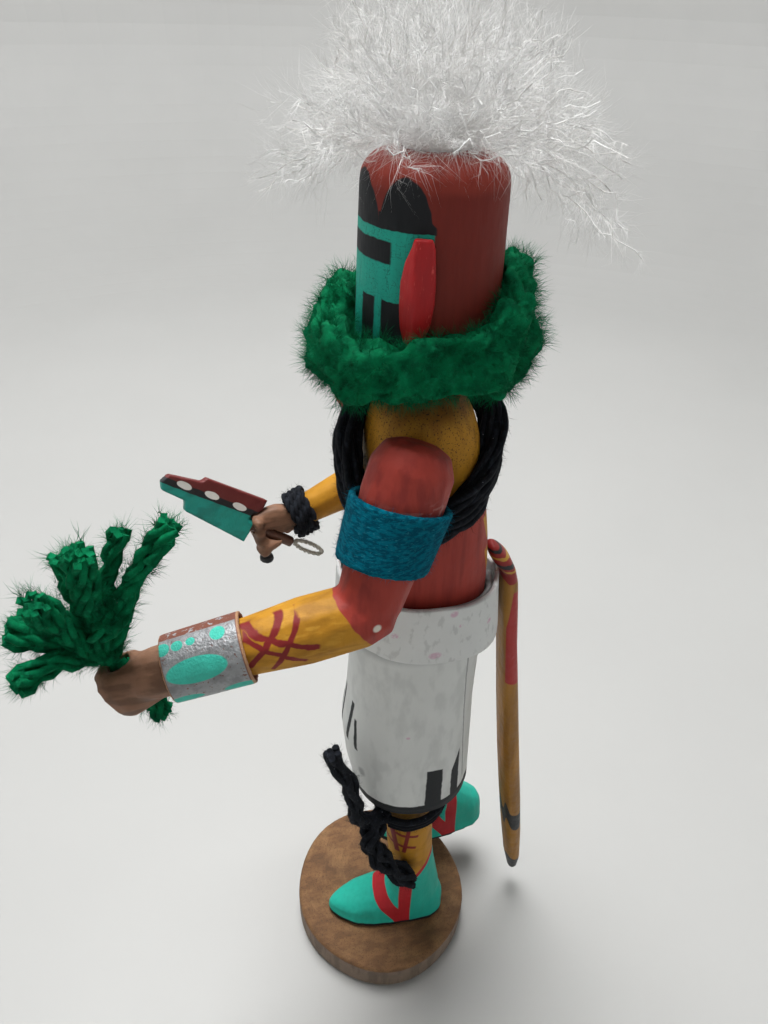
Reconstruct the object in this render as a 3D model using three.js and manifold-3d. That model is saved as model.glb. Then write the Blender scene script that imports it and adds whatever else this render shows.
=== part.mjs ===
// A carved and painted kachina doll, dressed with yarn, felt, leather and down, on a slice of branch.
// Millimetres, +Z up. The figure faces -Y and its left side is +X. The origin is the centre of the
// underside of the wooden base.

import * as THREE from "three";
import { mergeVertices } from "three/addons/utils/BufferGeometryUtils.js";
import Module from "manifold-3d";

const wasm = await Module();
wasm.setup();

// Driving sizes of the base and of the carved body.
const GAP = 0.3;
const BASE_RADIUS = 24.8;
const BASE_HEIGHT = 9.4;
const BASE_BEVEL = 0.7;
const SOLE_Z = BASE_HEIGHT + GAP;
const FOOT_LIFT = 10.4;
const AXIS_X = 0.9;
const AXIS_Y = 3.0;
const HEAD_TOP_Z = 213.6;
const HEAD_RADIUS = 11.1;
const HEAD_FLARE = 0.7;
const HEAD_BOTTOM_Z = 179;
const HEAD_WALL_TOP_Z = HEAD_TOP_Z - 4.4;
const HEAD_TURN = THREE.MathUtils.degToRad(3);

// Driving sizes of what the doll wears and holds.
const BELT_TOP_Z = 136;
const BELT_HEIGHT = 13.4;
const BELT_SLOPE = -0.06;
const BELT_SAG = 1.5;
const BELT_WALL = 1.1;
const KILT_WALL = 0.8;
const KILT_HEM_Z = 69;
const RUFF_Y = 2.0;
const RUFF_RADIUS = 15.3;
const RUFF_THICKNESS = 8.4;
const RUFF_TOP_Z = 191.8;
const RUFF_BOTTOM_Z = 180.4;
const PLUME_REACH = 29;
const PLUME_TOP_Z = 238;
const FELT_WALL = 1.2;
const LEATHER_WALL = 0.8;
const BANDOLIER_WIDE = 3.2;
const BANDOLIER_DEEP = 2.5;

// Joints of the arms, from shoulder to wrist and fist.
const LEFT_SHOULDER = new THREE.Vector3(16.7, -2.8, 169.6);
const LEFT_ELBOW = new THREE.Vector3(23.4, -11.7, 146.0);
const LEFT_WRIST = new THREE.Vector3(23.1, -46.2, 139.5);
const LEFT_FIST = new THREE.Vector3(23.8, -49.8, 137.9);
const RIGHT_SHOULDER = new THREE.Vector3(-15.1, -3.6, 169.6);
const RIGHT_ELBOW = new THREE.Vector3(-20.6, 11.5, 149.5);
const RIGHT_WRIST = new THREE.Vector3(-19.0, -16.4, 137.6);
const RIGHT_FIST = new THREE.Vector3(-17.8, -23.2, 136.2);

// The wand runs forward and up through the right fist.
const WAND_DIRECTION = new THREE.Vector3(0, -0.806, 0.592).normalize();
const WAND_GRIP = new THREE.Vector3(-16.6, -23.4, 134.6);
const HANDLE_RADIUS = 1.2;
const HANDLE_BELOW_GRIP = 5.4;
const WAND_THICKNESS = 2.2;

const PAINT = {
  redBrown: [0x9a4038, 0.75],
  ochre: [0xb9821e, 0.7],
  red: [0xc82323, 0.55],
  white: [0xcdd0cd, 0.8],
  wood: [0x7d5532, 0.85],
  teal: [0x00697d, 0.95],
  leather: [0x6e3c2d, 0.8],
  blackYarn: [0x141619, 0.95],
  greenYarn: [0x005f37, 0.98],
  down: [0xf2f2f0, 0.95],
  turquoise: [0x1eaa96, 0.6],
  thong: [0xb4b2aa, 0.8],
};

const v = (x, y, z) => new THREE.Vector3(x, y, z);

function named(name, geometry, paint, metalness = 0) {
  const [color, roughness] = PAINT[paint];
  const mesh = new THREE.Mesh(geometry, new THREE.MeshStandardMaterial({ color, roughness, metalness }));
  mesh.name = name;
  return mesh;
}

// Closed triangle meshes and solids

function meshOf(positions, triangles) {
  const geometry = new THREE.BufferGeometry();
  geometry.setAttribute("position", new THREE.Float32BufferAttribute(positions, 3));
  geometry.setIndex(triangles);
  return geometry;
}

function solidOf(geometry) {
  const plain = geometry.clone();
  plain.deleteAttribute("normal");
  plain.deleteAttribute("uv");
  const merged = mergeVertices(plain, 1e-4);
  const index = merged.index.array;
  const kept = [];
  for (let i = 0; i < index.length; i += 3) {
    const [a, b, c] = [index[i], index[i + 1], index[i + 2]];
    if (a !== b && b !== c && c !== a) {
      kept.push(a, b, c);
    }
  }
  const vertProperties = new Float32Array(merged.attributes.position.array);
  const build = (triangles) => {
    const mesh = new wasm.Mesh({ numProp: 3, vertProperties, triVerts: new Uint32Array(triangles) });
    return new wasm.Manifold(mesh);
  };
  const solid = build(kept);
  if (solid.volume() > 0) {
    return solid;
  }
  const flipped = [];
  for (let i = 0; i < kept.length; i += 3) {
    flipped.push(kept[i], kept[i + 2], kept[i + 1]);
  }
  return build(flipped);
}

function geometryOf(solid) {
  const mesh = solid.getMesh();
  const positions = [];
  for (let i = 0; i < mesh.vertProperties.length; i += mesh.numProp) {
    positions.push(mesh.vertProperties[i], mesh.vertProperties[i + 1], mesh.vertProperties[i + 2]);
  }
  return meshOf(positions, Array.from(mesh.triVerts));
}

function joined(...solids) {
  return solids.reduce((sum, solid) => sum.add(solid));
}

// The biggest of a cut solid's bodies, without its slivers.
function largest(solid) {
  return solid.decompose().reduce((best, body) => (body.volume() > best.volume() ? body : best));
}

// Lofts: rings of points skinned into one closed solid

function skin(rings, loop = false) {
  const sides = rings[0].length;
  const positions = [];
  const triangles = [];
  rings.forEach((ring) => ring.forEach((point) => positions.push(point.x, point.y, point.z)));
  const spans = loop ? rings.length : rings.length - 1;
  for (let i = 0; i < spans; i += 1) {
    const here = i * sides;
    const next = ((i + 1) % rings.length) * sides;
    for (let j = 0; j < sides; j += 1) {
      const k = (j + 1) % sides;
      triangles.push(here + j, here + k, next + k, here + j, next + k, next + j);
    }
  }
  if (!loop) {
    [0, rings.length - 1].forEach((i) => {
      const centre = rings[i].reduce((sum, point) => sum.add(point), v(0, 0, 0)).divideScalar(sides);
      const middle = positions.length / 3;
      positions.push(centre.x, centre.y, centre.z);
      for (let j = 0; j < sides; j += 1) {
        const [a, b] = [i * sides + j, i * sides + ((j + 1) % sides)];
        triangles.push(...(i === 0 ? [middle, b, a] : [middle, a, b]));
      }
    });
  }
  return solidOf(meshOf(positions, triangles));
}

// A point of a rounded-box section: power 2 is an ellipse, larger powers are squarer.
function sectionPoint(angle, wide, deep, power = 2) {
  const c = Math.cos(angle);
  const s = Math.sin(angle);
  return [
    wide * Math.sign(c) * Math.abs(c) ** (2 / power),
    deep * Math.sign(s) * Math.abs(s) ** (2 / power),
  ];
}

// A horizontal ring about (x, y) at height z. `slope` tips its back and `sag` lowers it further.
function levelRing({ x, y, z, wide, deep, power = 2, slope = 0, sag = 0 }, sides) {
  return Array.from({ length: sides }, (_, j) => {
    const [dx, dy] = sectionPoint((2 * Math.PI * j) / sides, wide, deep, power);
    return v(x + dx, y + dy, z + slope * dy - sag * Math.max(0, dy / deep) ** 2);
  });
}

function blend(a, b, c, d, t) {
  const t2 = t * t;
  const t3 = t2 * t;
  return 0.5 * (2 * b + (c - a) * t + (2 * a - 5 * b + 4 * c - d) * t2 + (3 * b - a - 3 * c + d) * t3);
}

// A section of `sides` points, each placed by `place` from its two offsets.
function section(sides, wide, deep, place) {
  const angles = Array.from({ length: sides }, (_, j) => (2 * Math.PI * j) / sides);
  return angles.map((angle) => place(...sectionPoint(angle, wide, deep)));
}

// A closed ring of sections, one at each of `turns` angles.
function ringAround(turns, sectionAt) {
  return skin(Array.from({ length: turns }, (_, i) => sectionAt((2 * Math.PI * i) / turns)), true);
}

// Puts smooth stations between the stated ones, every number following a Catmull-Rom curve.
function smooth(stations, steps, loop = false) {
  const n = stations.length;
  const pick = (i) => (loop ? stations[(i + n) % n] : stations[Math.min(n - 1, Math.max(0, i))]);
  const result = [];
  for (let i = 0; i < (loop ? n : n - 1); i += 1) {
    for (let k = 0; k < steps; k += 1) {
      const station = {};
      Object.keys(stations[0]).forEach((key) => {
        station[key] = blend(pick(i - 1)[key], pick(i)[key], pick(i + 1)[key], pick(i + 2)[key], k / steps);
      });
      result.push(station);
    }
  }
  if (!loop) {
    result.push(stations[n - 1]);
  }
  return result;
}

function grown(stations, by) {
  return stations.map((station) => ({ ...station, wide: station.wide + by, deep: station.deep + by }));
}

// A limb: elliptical sections square to a path. `side` says which way `wide` is measured.
function limb(stations, side, sides, loop = false) {
  const at = stations.map((station) => v(station.x, station.y, station.z));
  const n = at.length;
  const rings = stations.map((station, i) => {
    const before = loop ? at[(i + n - 1) % n] : at[Math.max(0, i - 1)];
    const after = loop ? at[(i + 1) % n] : at[Math.min(n - 1, i + 1)];
    const along = after.clone().sub(before).normalize();
    const across = side.clone().addScaledVector(along, -side.dot(along)).normalize();
    const third = along.clone().cross(across);
    return Array.from({ length: sides }, (_, j) => {
      const [a, b] = sectionPoint((2 * Math.PI * j) / sides, station.wide, station.deep, station.power ?? 2);
      return at[i].clone().addScaledVector(across, a).addScaledVector(third, b);
    });
  });
  return skin(rings, loop);
}

// A blunt capsule between two points.
function capsule(from, to, thick, end, side, sides = 8) {
  const point = (t, k) => {
    const p = from.clone().lerp(to, t);
    return { x: p.x, y: p.y, z: p.z, wide: thick * k, deep: thick * k };
  };
  const shares = [[0, 0.55], [0.12, 0.9], [0.5, 1], [0.88, 0.95 * end], [1, 0.5 * end]];
  const stations = shares.map(([t, k]) => point(t, k));
  return limb(stations, side, sides);
}

// The base: a slice of branch, not quite round

function makeBase() {
  const sides = 48;
  const outline = (shrink) => Array.from({ length: sides }, (_, j) => {
    const angle = (2 * Math.PI * j) / sides;
    const wander = 0.35 * Math.sin(2 * angle + 0.7) + 0.22 * Math.sin(5 * angle + 2);
    const radius = BASE_RADIUS + wander - shrink;
    return [radius * Math.cos(angle), radius * Math.sin(angle)];
  });
  const ring = (z, shrink) => outline(shrink).map(([x, y]) => v(x, y, z));
  return skin([
    ring(0, BASE_BEVEL),
    ring(BASE_BEVEL, 0),
    ring(BASE_HEIGHT - BASE_BEVEL, 0),
    ring(BASE_HEIGHT, BASE_BEVEL),
  ]);
}

// The carved body: head, neck, trunk, legs and feet in one piece

function makeHead(swell = 0) {
  const wide = HEAD_RADIUS + swell;
  const low = HEAD_BOTTOM_Z - swell;
  const high = HEAD_WALL_TOP_Z;
  const profile = [
    [0, low],
    [wide + HEAD_FLARE - 2.2, low],
    [wide + HEAD_FLARE - 0.3, low + 1.4],
    [wide + HEAD_FLARE, low + 4],
    [wide, high],
    [wide - 0.45, high + 1.5 + swell * 0.3],
    [wide - 1.8, high + 2.9 + swell * 0.7],
    [wide - 4.6, high + 3.9 + swell],
    [0, HEAD_TOP_Z + swell],
  ];
  const lathe = new THREE.LatheGeometry(profile.map(([r, z]) => new THREE.Vector2(r, z)), 32);
  lathe.rotateX(Math.PI / 2);
  lathe.translate(AXIS_X, AXIS_Y, 0);
  return solidOf(lathe);
}

const TRUNK = [
  { x: 0.9, y: 3.0, z: 181, wide: 6.3, deep: 6.0, power: 2 },
  { x: 0.9, y: 3.0, z: 176.5, wide: 6.6, deep: 6.3, power: 2 },
  { x: 0.9, y: 3.1, z: 173.2, wide: 9.4, deep: 8.3, power: 2.2 },
  { x: 0.9, y: 3.2, z: 168, wide: 10.8, deep: 10.0, power: 2.5 },
  { x: 0.9, y: 3.5, z: 160, wide: 10.9, deep: 10.9, power: 2.5 },
  { x: 1.0, y: 4.0, z: 150, wide: 11.2, deep: 12.8, power: 2.4 },
  { x: 1.1, y: 4.4, z: 138, wide: 11.9, deep: 14.0, power: 2.2 },
  { x: 1.2, y: 4.6, z: 124, wide: 12.0, deep: 14.0, power: 2.1 },
  { x: 1.2, y: 4.6, z: 110, wide: 11.6, deep: 11.8, power: 2.1 },
  { x: 1.2, y: 4.6, z: 101, wide: 10.9, deep: 9.6, power: 2.2 },
];

function makeTrunk(swell = 0) {
  const stations = grown(smooth(TRUNK, 2), swell);
  return skin(stations.map((station) => levelRing(station, 24)));
}

const LEFT_LEG = [
  { x: 7.0, y: 4.8, z: 104, wide: 5.8, deep: 7.6 },
  { x: 7.2, y: 4.4, z: 84, wide: 5.8, deep: 7.2 },
  { x: 7.7, y: 4.4, z: 66, wide: 5.7, deep: 6.5 },
  { x: 8.5, y: 4.8, z: 50, wide: 5.8, deep: 6.2 },
  { x: 8.4, y: 6.2, z: 36, wide: 5.6, deep: 6.2 },
  { x: 7.6, y: 7.6, z: 22, wide: 5.9, deep: 7.4 },
  { x: 7.2, y: 8.0, z: SOLE_Z + 2, wide: 6.0, deep: 8.0 },
];

const RIGHT_LEG = [
  { x: -5.4, y: 4.8, z: 104, wide: 6.0, deep: 7.4 },
  { x: -5.6, y: 1.8, z: 84, wide: 5.4, deep: 7.0 },
  { x: -6.5, y: 1.8, z: 66, wide: 5.0, deep: 6.4 },
  { x: -8.0, y: 9.0, z: 50, wide: 5.3, deep: 5.8 },
  { x: -9.8, y: 18.5, z: 37, wide: 5.3, deep: 5.6 },
  { x: -10.2, y: 24.6, z: 30, wide: 5.3, deep: 6.2 },
  { x: -10.2, y: 26.0, z: 25, wide: 5.0, deep: 6.0 },
];

function makeLeg(stations) {
  return limb(smooth(stations, 2), v(1, 0, 0), 12);
}

// A moccasin, 33 mm long: a flat sole with a pointed toe, a low vamp and a heel.
const SHOE = [
  { along: -16.6, half: 0.9, top: 3.0 },
  { along: -15.6, half: 2.3, top: 4.2 },
  { along: -13.2, half: 4.2, top: 5.6 },
  { along: -9.0, half: 6.3, top: 7.4 },
  { along: -4.0, half: 7.0, top: 10.2 },
  { along: 1.5, half: 6.9, top: 13.4 },
  { along: 8.0, half: 6.4, top: 14.6 },
  { along: 13.0, half: 5.6, top: 12.4 },
  { along: 15.6, half: 3.9, top: 9.8 },
  { along: 16.6, half: 2.0, top: 7.0 },
];

function makeShoe() {
  const sole = 1.5;
  const rings = SHOE.map(({ along, half, top }) => {
    const ring = [v(half, along, 0), v(half, along, sole), v(half - 0.35, along, sole)];
    const arch = 6;
    for (let k = 0; k <= arch; k += 1) {
      const angle = (Math.PI * k) / arch;
      const x = (half - 0.5) * Math.sign(Math.cos(angle)) * Math.abs(Math.cos(angle)) ** 0.8;
      ring.push(v(x, along, sole + 0.4 + (top - sole - 0.4) * Math.sin(angle) ** 0.75));
    }
    ring.push(v(-half + 0.35, along, sole), v(-half, along, sole), v(-half, along, 0));
    return ring;
  });
  return skin(rings);
}

// The left foot stands flat, turned in a little; the right one is lifted behind it in a dance step.
function makeFeet() {
  const left = makeShoe().rotate([0, 0, -9]).translate([6.2, -0.2, SOLE_Z]);
  const right = makeShoe().rotate([3, 0, 1]).translate([-10.2, 17.4, SOLE_Z + FOOT_LIFT]);
  return [left, right];
}

function makeFigure() {
  const floor = new THREE.BoxGeometry(120, 160, SOLE_Z);
  floor.translate(0, 0, SOLE_Z / 2);
  return joined(makeHead(), makeTrunk(), makeLeg(LEFT_LEG), makeLeg(RIGHT_LEG), ...makeFeet())
    .subtract(solidOf(floor));
}

// An ear: a thick upright leaf on the side of the head, ridged along its length

const EAR_Z = 195.6;
const EAR_ROOT = 0.7;
const EAR_RIDGE_AT = -0.8;
const EAR = [
  { z: -7.8, front: -1.4, back: -0.1, ridge: 0.5 },
  { z: -7.0, front: -2.2, back: 0.7, ridge: 1.2 },
  { z: -4.6, front: -2.8, back: 1.7, ridge: 1.6 },
  { z: -1.2, front: -3.0, back: 2.2, ridge: 1.8 },
  { z: 2.0, front: -2.9, back: 2.2, ridge: 1.8 },
  { z: 4.6, front: -2.4, back: 2.0, ridge: 1.6 },
  { z: 6.8, front: -1.5, back: 1.8, ridge: 1.2 },
  { z: 8.0, front: -1.2, back: 1.4, ridge: 0.7 },
];

function makeEar(turn, swell = 0) {
  const side = Math.sign(turn);
  const rings = EAR.map(({ z, front, back, ridge }) => {
    const [fore, aft] = [side * (front - swell), side * (back + swell)];
    const level = z * (1 + swell / 8);
    return [
      v(0, fore, level),
      v(EAR_ROOT + swell, fore, level),
      v(EAR_ROOT + ridge + swell, side * EAR_RIDGE_AT, level),
      v(EAR_ROOT + swell, aft, level),
      v(0, aft, level),
    ];
  });
  const angle = THREE.MathUtils.degToRad(turn) + HEAD_TURN;
  const reach = HEAD_RADIUS + 0.4 + GAP;
  return skin(rings)
    .rotate([0, 0, THREE.MathUtils.radToDeg(angle) - 90])
    .translate([AXIS_X + reach * Math.sin(angle), AXIS_Y - reach * Math.cos(angle), EAR_Z])
    .subtract(makeHead(GAP));
}

// The arms: upper arm, forearm and a closed fist in one piece each

function pointOn(a, b, t, wide, deep) {
  const p = a.clone().lerp(b, t);
  return { x: p.x, y: p.y, z: p.z, wide, deep };
}

function upperArm(shoulder, elbow, thick) {
  const shares = [
    [-0.16, 0.45], [-0.12, 0.78], [0, 0.99], [0.2, 1], [0.6, 0.88], [0.9, 0.8], [1.08, 0.66], [1.14, 0.4],
  ];
  return shares
    .map(([t, k]) => pointOn(shoulder, elbow, t, thick * k * 1.03, thick * k * 0.95));
}

function foreArm({ elbow, wrist, lower, taper }) {
  return taper.map(([t, k]) => pointOn(elbow, wrist, t, lower * k, lower * k * 0.97));
}

// A fist: a palm, four fingers curled side by side and the thumb across them.
// `across` runs along the knuckles and `curl` is the way the palm faces.
function makeFist({ wrist, fist, across, curl, hand }, swell) {
  const along = fist.clone().sub(wrist).normalize();
  const knuckles = across.clone().addScaledVector(along, -across.dot(along)).normalize();
  const spot = (a, c, d) => fist.clone().addScaledVector(along, a * hand)
    .addScaledVector(knuckles, c * hand).addScaledVector(curl, d * hand);
  const station = (a, d, wide, deep) => {
    const p = spot(a, 0, d);
    return { x: p.x, y: p.y, z: p.z, wide: wide * hand + swell, deep: deep * hand + swell, power: 2.6 };
  };
  const palm = limb([
    station(-1.5, 0, 0.4, 0.4),
    station(-1.0, 0, 0.72, 0.5),
    station(-0.55, 0, 0.94, 0.52),
    station(-0.1, 0, 0.98, 0.5),
    station(0.6, 0.05, 1.02, 0.5),
    station(0.95, 0.15, 0.86, 0.4),
  ], knuckles, 10);
  const parts = [palm];
  for (let finger = 0; finger < 4; finger += 1) {
    const c = -0.78 + 0.52 * finger;
    const knuckle = spot(0.86 - 0.06 * finger, c, 0.12);
    const tip = spot(0.24 - 0.05 * finger, c, 1.02);
    parts.push(capsule(knuckle, tip, 0.33 * hand + swell, 0.9, knuckles, 6));
  }
  parts.push(capsule(spot(-0.5, -0.7, 0.4), spot(0.4, -0.5, 0.95), 0.3 * hand + swell, 0.9, knuckles, 6));
  return joined(...parts);
}

const LEFT_ARM = {
  shoulder: LEFT_SHOULDER,
  elbow: LEFT_ELBOW,
  wrist: LEFT_WRIST,
  fist: LEFT_FIST,
  across: v(0, 0.47, -0.88),
  curl: v(-1, 0, 0),
  upper: 7.0,
  lower: 5.9,
  taper: [
    [-0.14, 0.4], [-0.1, 0.76], [0.02, 0.98], [0.3, 1], [0.55, 0.86], [0.8, 0.79], [1, 0.76], [1.1, 0.66],
  ],
  hand: 5.0,
  grip: v(21.5, -50.5, 137.4),
  gripWay: v(0, 0.38, -0.92).normalize(),
  gripRadius: 2.0,
};

const RIGHT_ARM = {
  shoulder: RIGHT_SHOULDER,
  elbow: RIGHT_ELBOW,
  wrist: RIGHT_WRIST,
  fist: RIGHT_FIST,
  across: WAND_DIRECTION,
  curl: v(0.92, -0.25, -0.3).normalize(),
  upper: 6.7,
  lower: 5.3,
  taper: [[-0.15, 0.4], [-0.11, 0.8], [0.02, 1.03], [0.3, 1], [0.62, 0.82], [1, 0.62], [1.12, 0.55]],
  hand: 4.3,
  grip: WAND_GRIP,
  gripWay: WAND_DIRECTION,
  gripRadius: HANDLE_RADIUS + GAP,
};

// The hole through a fist for what it grips.
function gripHole({ grip, gripWay, gripRadius }, swell) {
  const hole = new THREE.CylinderGeometry(gripRadius - swell, gripRadius - swell, 26, 10);
  hole.applyQuaternion(new THREE.Quaternion().setFromUnitVectors(v(0, 1, 0), gripWay));
  hole.translate(grip.x, grip.y, grip.z);
  return solidOf(hole);
}

function makeArm(arm, swell = 0) {
  return joined(
    limb(grown(upperArm(arm.shoulder, arm.elbow, arm.upper), swell), v(0, 1, 0), 14),
    limb(grown(foreArm(arm), swell), v(0, 0, 1), 12),
    makeFist(arm, swell),
  ).subtract(gripHole(arm, swell)).subtract(makeTrunk(GAP - swell));
}

// A sleeve round part of an arm. `slant` lowers its back edge, `narrow` is how much smaller its far
// end is, and `wall` is the stuff's thickness.
function sleeve({ from, to, start, end, side, wide, deep, slant, narrow, sides }, wall, swell = 0) {
  const along = to.clone().sub(from).normalize();
  const across = side.clone().addScaledVector(along, -side.dot(along)).normalize();
  const third = along.clone().cross(across);
  const ring = (t, k, extra) => Array.from({ length: sides }, (_, j) => {
    const [a, b] = sectionPoint((2 * Math.PI * j) / sides, wide * k + extra, deep * k + extra);
    return from.clone().lerp(to, t).addScaledVector(across, a).addScaledVector(third, b)
      .addScaledVector(along, slant * a);
  });
  const over = 0.08;
  const outer = skin([ring(start, 1, wall + swell), ring(end, narrow, wall + swell)]);
  if (swell > 0) {
    return outer;
  }
  const inner = [
    ring(start - over, 1, 0), ring(start, 1, 0), ring(end, narrow, 0), ring(end + over, narrow, 0),
  ];
  return outer.subtract(skin(inner));
}

function makeArmband(arm, start, end, slant, swell = 0) {
  const band = sleeve({
    from: arm.shoulder,
    to: arm.elbow,
    start,
    end,
    side: v(0, 1, 0),
    wide: arm.upper * 1.03 + GAP,
    deep: arm.upper * 0.95 + GAP,
    slant,
    narrow: 0.9,
    sides: 18,
  }, FELT_WALL, swell);
  return band.subtract(makeTrunk(GAP - swell));
}

function makeLeftArmband(swell = 0) {
  return makeArmband(LEFT_ARM, 0.22, 0.64, -0.08, swell);
}

function makeRightArmband() {
  return makeArmband(RIGHT_ARM, 0.2, 0.62, 0.1);
}

// The bow guard narrows a little towards the hand.
function makeBowGuard() {
  return sleeve({
    from: LEFT_ELBOW,
    to: LEFT_WRIST,
    start: 0.57,
    end: 0.95,
    side: v(0, 0, 1),
    wide: 5.45,
    deep: 5.3,
    slant: 0,
    narrow: 0.92,
    sides: 22,
  }, LEATHER_WALL);
}

function makeWristband() {
  const along = RIGHT_WRIST.clone().sub(RIGHT_ELBOW).normalize();
  const across = v(1, 0, 0).addScaledVector(along, -along.x).normalize();
  const third = along.clone().cross(across);
  const centre = RIGHT_WRIST.clone().lerp(RIGHT_ELBOW, 0.01);
  return ringAround(18, (angle) => {
    const out = across.clone().multiplyScalar(Math.cos(angle)).addScaledVector(third, Math.sin(angle));
    const place = (a, b) => centre.clone().addScaledVector(along, a).addScaledVector(out, 4.6 + b);
    return section(8, 2.7, 1.0, place);
  });
}

// The kilt: a thin sheet wrapped round the hips, bulging forward over the striding leg

const KILT = [
  { x: 1.1, y: 4.5, z: BELT_TOP_Z, wide: 13.3, deep: 15.4, power: 2.2, slope: BELT_SLOPE, sag: BELT_SAG },
  { x: 1.2, y: 4.6, z: 122, wide: 13.3, deep: 15.1, power: 2.2, slope: BELT_SLOPE / 2 },
  { x: 1.2, y: 4.5, z: 111, wide: 13.5, deep: 14.3, power: 2.2, slope: 0 },
  { x: 1.2, y: 4.2, z: 100, wide: 13.9, deep: 14.6, power: 2.2, slope: 0 },
  { x: 1.2, y: 3.8, z: 90, wide: 14.3, deep: 15.5, power: 2.2, slope: 0 },
  { x: 1.2, y: 4.5, z: 79, wide: 14.6, deep: 15.3, power: 2.2, slope: 0 },
  { x: 1.2, y: 5.6, z: KILT_HEM_Z, wide: 14.8, deep: 14.6, power: 2.2, slope: 0 },
];

// A shell open above and below: the outer skin less the inner one, which runs on past both ends.
function openShell(stations, wall, sides) {
  const rings = (list) => skin(list.map((station) => levelRing(station, sides)));
  const inner = grown(stations, -wall);
  const first = inner[0];
  const last = inner[inner.length - 1];
  const through = [{ ...first, z: first.z + 1 }, ...inner, { ...last, z: last.z - 1 }];
  return rings(stations).subtract(rings(through));
}

function makeKilt() {
  return openShell(KILT, KILT_WALL, 28);
}

// The belt: a wide stiff band that stands off the kilt below and behind

function makeBelt() {
  const top = {
    x: 1.1,
    y: 4.5,
    z: BELT_TOP_Z,
    wide: 13.3 + GAP + BELT_WALL,
    deep: 15.4 + GAP + BELT_WALL,
    power: 2.2,
    slope: BELT_SLOPE,
    sag: BELT_SAG,
  };
  const bottom = {
    ...top,
    y: top.y + 0.3,
    z: top.z - BELT_HEIGHT,
    wide: top.wide + 0.3,
    deep: top.deep + 0.3,
    slope: -0.14,
    sag: 0,
  };
  return openShell([top, bottom], BELT_WALL, 28);
}

// The fox pelt: a carved tongue that hangs from the back of the belt and stands away below

const PELT = [
  { x: 3.2, y: 18.8, z: 140.2, wide: 1.6, deep: 0.8, power: 2.5 },
  { x: 3.2, y: 19.8, z: 138.8, wide: 2.9, deep: 1.4, power: 2.5 },
  { x: 3.2, y: 21.4, z: 136.6, wide: 3.6, deep: 1.8, power: 2.5 },
  { x: 3.2, y: 23.2, z: 133.8, wide: 3.7, deep: 1.4, power: 2.5 },
  { x: 3.2, y: 23.8, z: 130.4, wide: 3.9, deep: 1.8, power: 2.5 },
  { x: 3.2, y: 24.6, z: 124.0, wide: 3.9, deep: 1.9, power: 2.5 },
  { x: 3.2, y: 26.1, z: 112.0, wide: 4.0, deep: 1.9, power: 2.5 },
  { x: 3.2, y: 28.9, z: 92.0, wide: 4.3, deep: 2.2, power: 2.5 },
  { x: 3.2, y: 32.1, z: 70.0, wide: 4.5, deep: 2.4, power: 2.5 },
  { x: 3.2, y: 35.2, z: 50.0, wide: 4.5, deep: 2.5, power: 2.5 },
  { x: 3.2, y: 38.0, z: 32.0, wide: 4.2, deep: 2.4, power: 2.5 },
  { x: 3.2, y: 40.3, z: 17.0, wide: 3.4, deep: 2.1, power: 2.5 },
  { x: 3.2, y: 41.4, z: 9.5, wide: 1.8, deep: 1.4, power: 2.5 },
];

function makePelt() {
  return limb(PELT, v(1, 0, 0), 12);
}

// Yarn: the bandolier, the leg tie, the ruff and the bundle in the left fist

const BANDOLIER = [
  { x: -8.6, y: 3.2, z: 176.2 },
  { x: -6.0, y: 11.0, z: 175.0 },
  { x: -1.0, y: 15.8, z: 171.0 },
  { x: 4.4, y: 15.8, z: 165.8 },
  { x: 8.8, y: 13.2, z: 161.8 },
  { x: 13.0, y: 8.8, z: 158.6 },
  { x: 14.8, y: 3.2, z: 156.2 },
  { x: 13.6, y: -3.4, z: 155.6 },
  { x: 9.0, y: -8.8, z: 157.0 },
  { x: 3.6, y: -10.2, z: 161.2 },
  { x: -1.4, y: -9.4, z: 167.4 },
  { x: -6.0, y: -4.6, z: 174.0 },
];

// The band lies flat on the trunk, so its width is measured along the trunk's surface.
function makeBandolier() {
  const loop = smooth(BANDOLIER, 2, true);
  const n = loop.length;
  const rings = loop.map((p, i) => {
    const [before, after] = [loop[(i + n - 1) % n], loop[(i + 1) % n]];
    const along = v(after.x - before.x, after.y - before.y, after.z - before.z).normalize();
    const out = v(p.x - AXIS_X, p.y - 3.5, p.z > 170 ? (p.z - 166) * 1.2 : 0);
    out.addScaledVector(along, -out.dot(along)).normalize();
    const width = along.clone().cross(out);
    return section(8, BANDOLIER_WIDE, BANDOLIER_DEEP,
      (a, b) => v(p.x, p.y, p.z).addScaledVector(width, a).addScaledVector(out, b));
  });
  return skin(rings, true).subtract(makeTrunk(GAP))
    .subtract(makeLeftArmband(GAP)).subtract(makeArm(LEFT_ARM, GAP)).subtract(makeArm(RIGHT_ARM, GAP));
}

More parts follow.
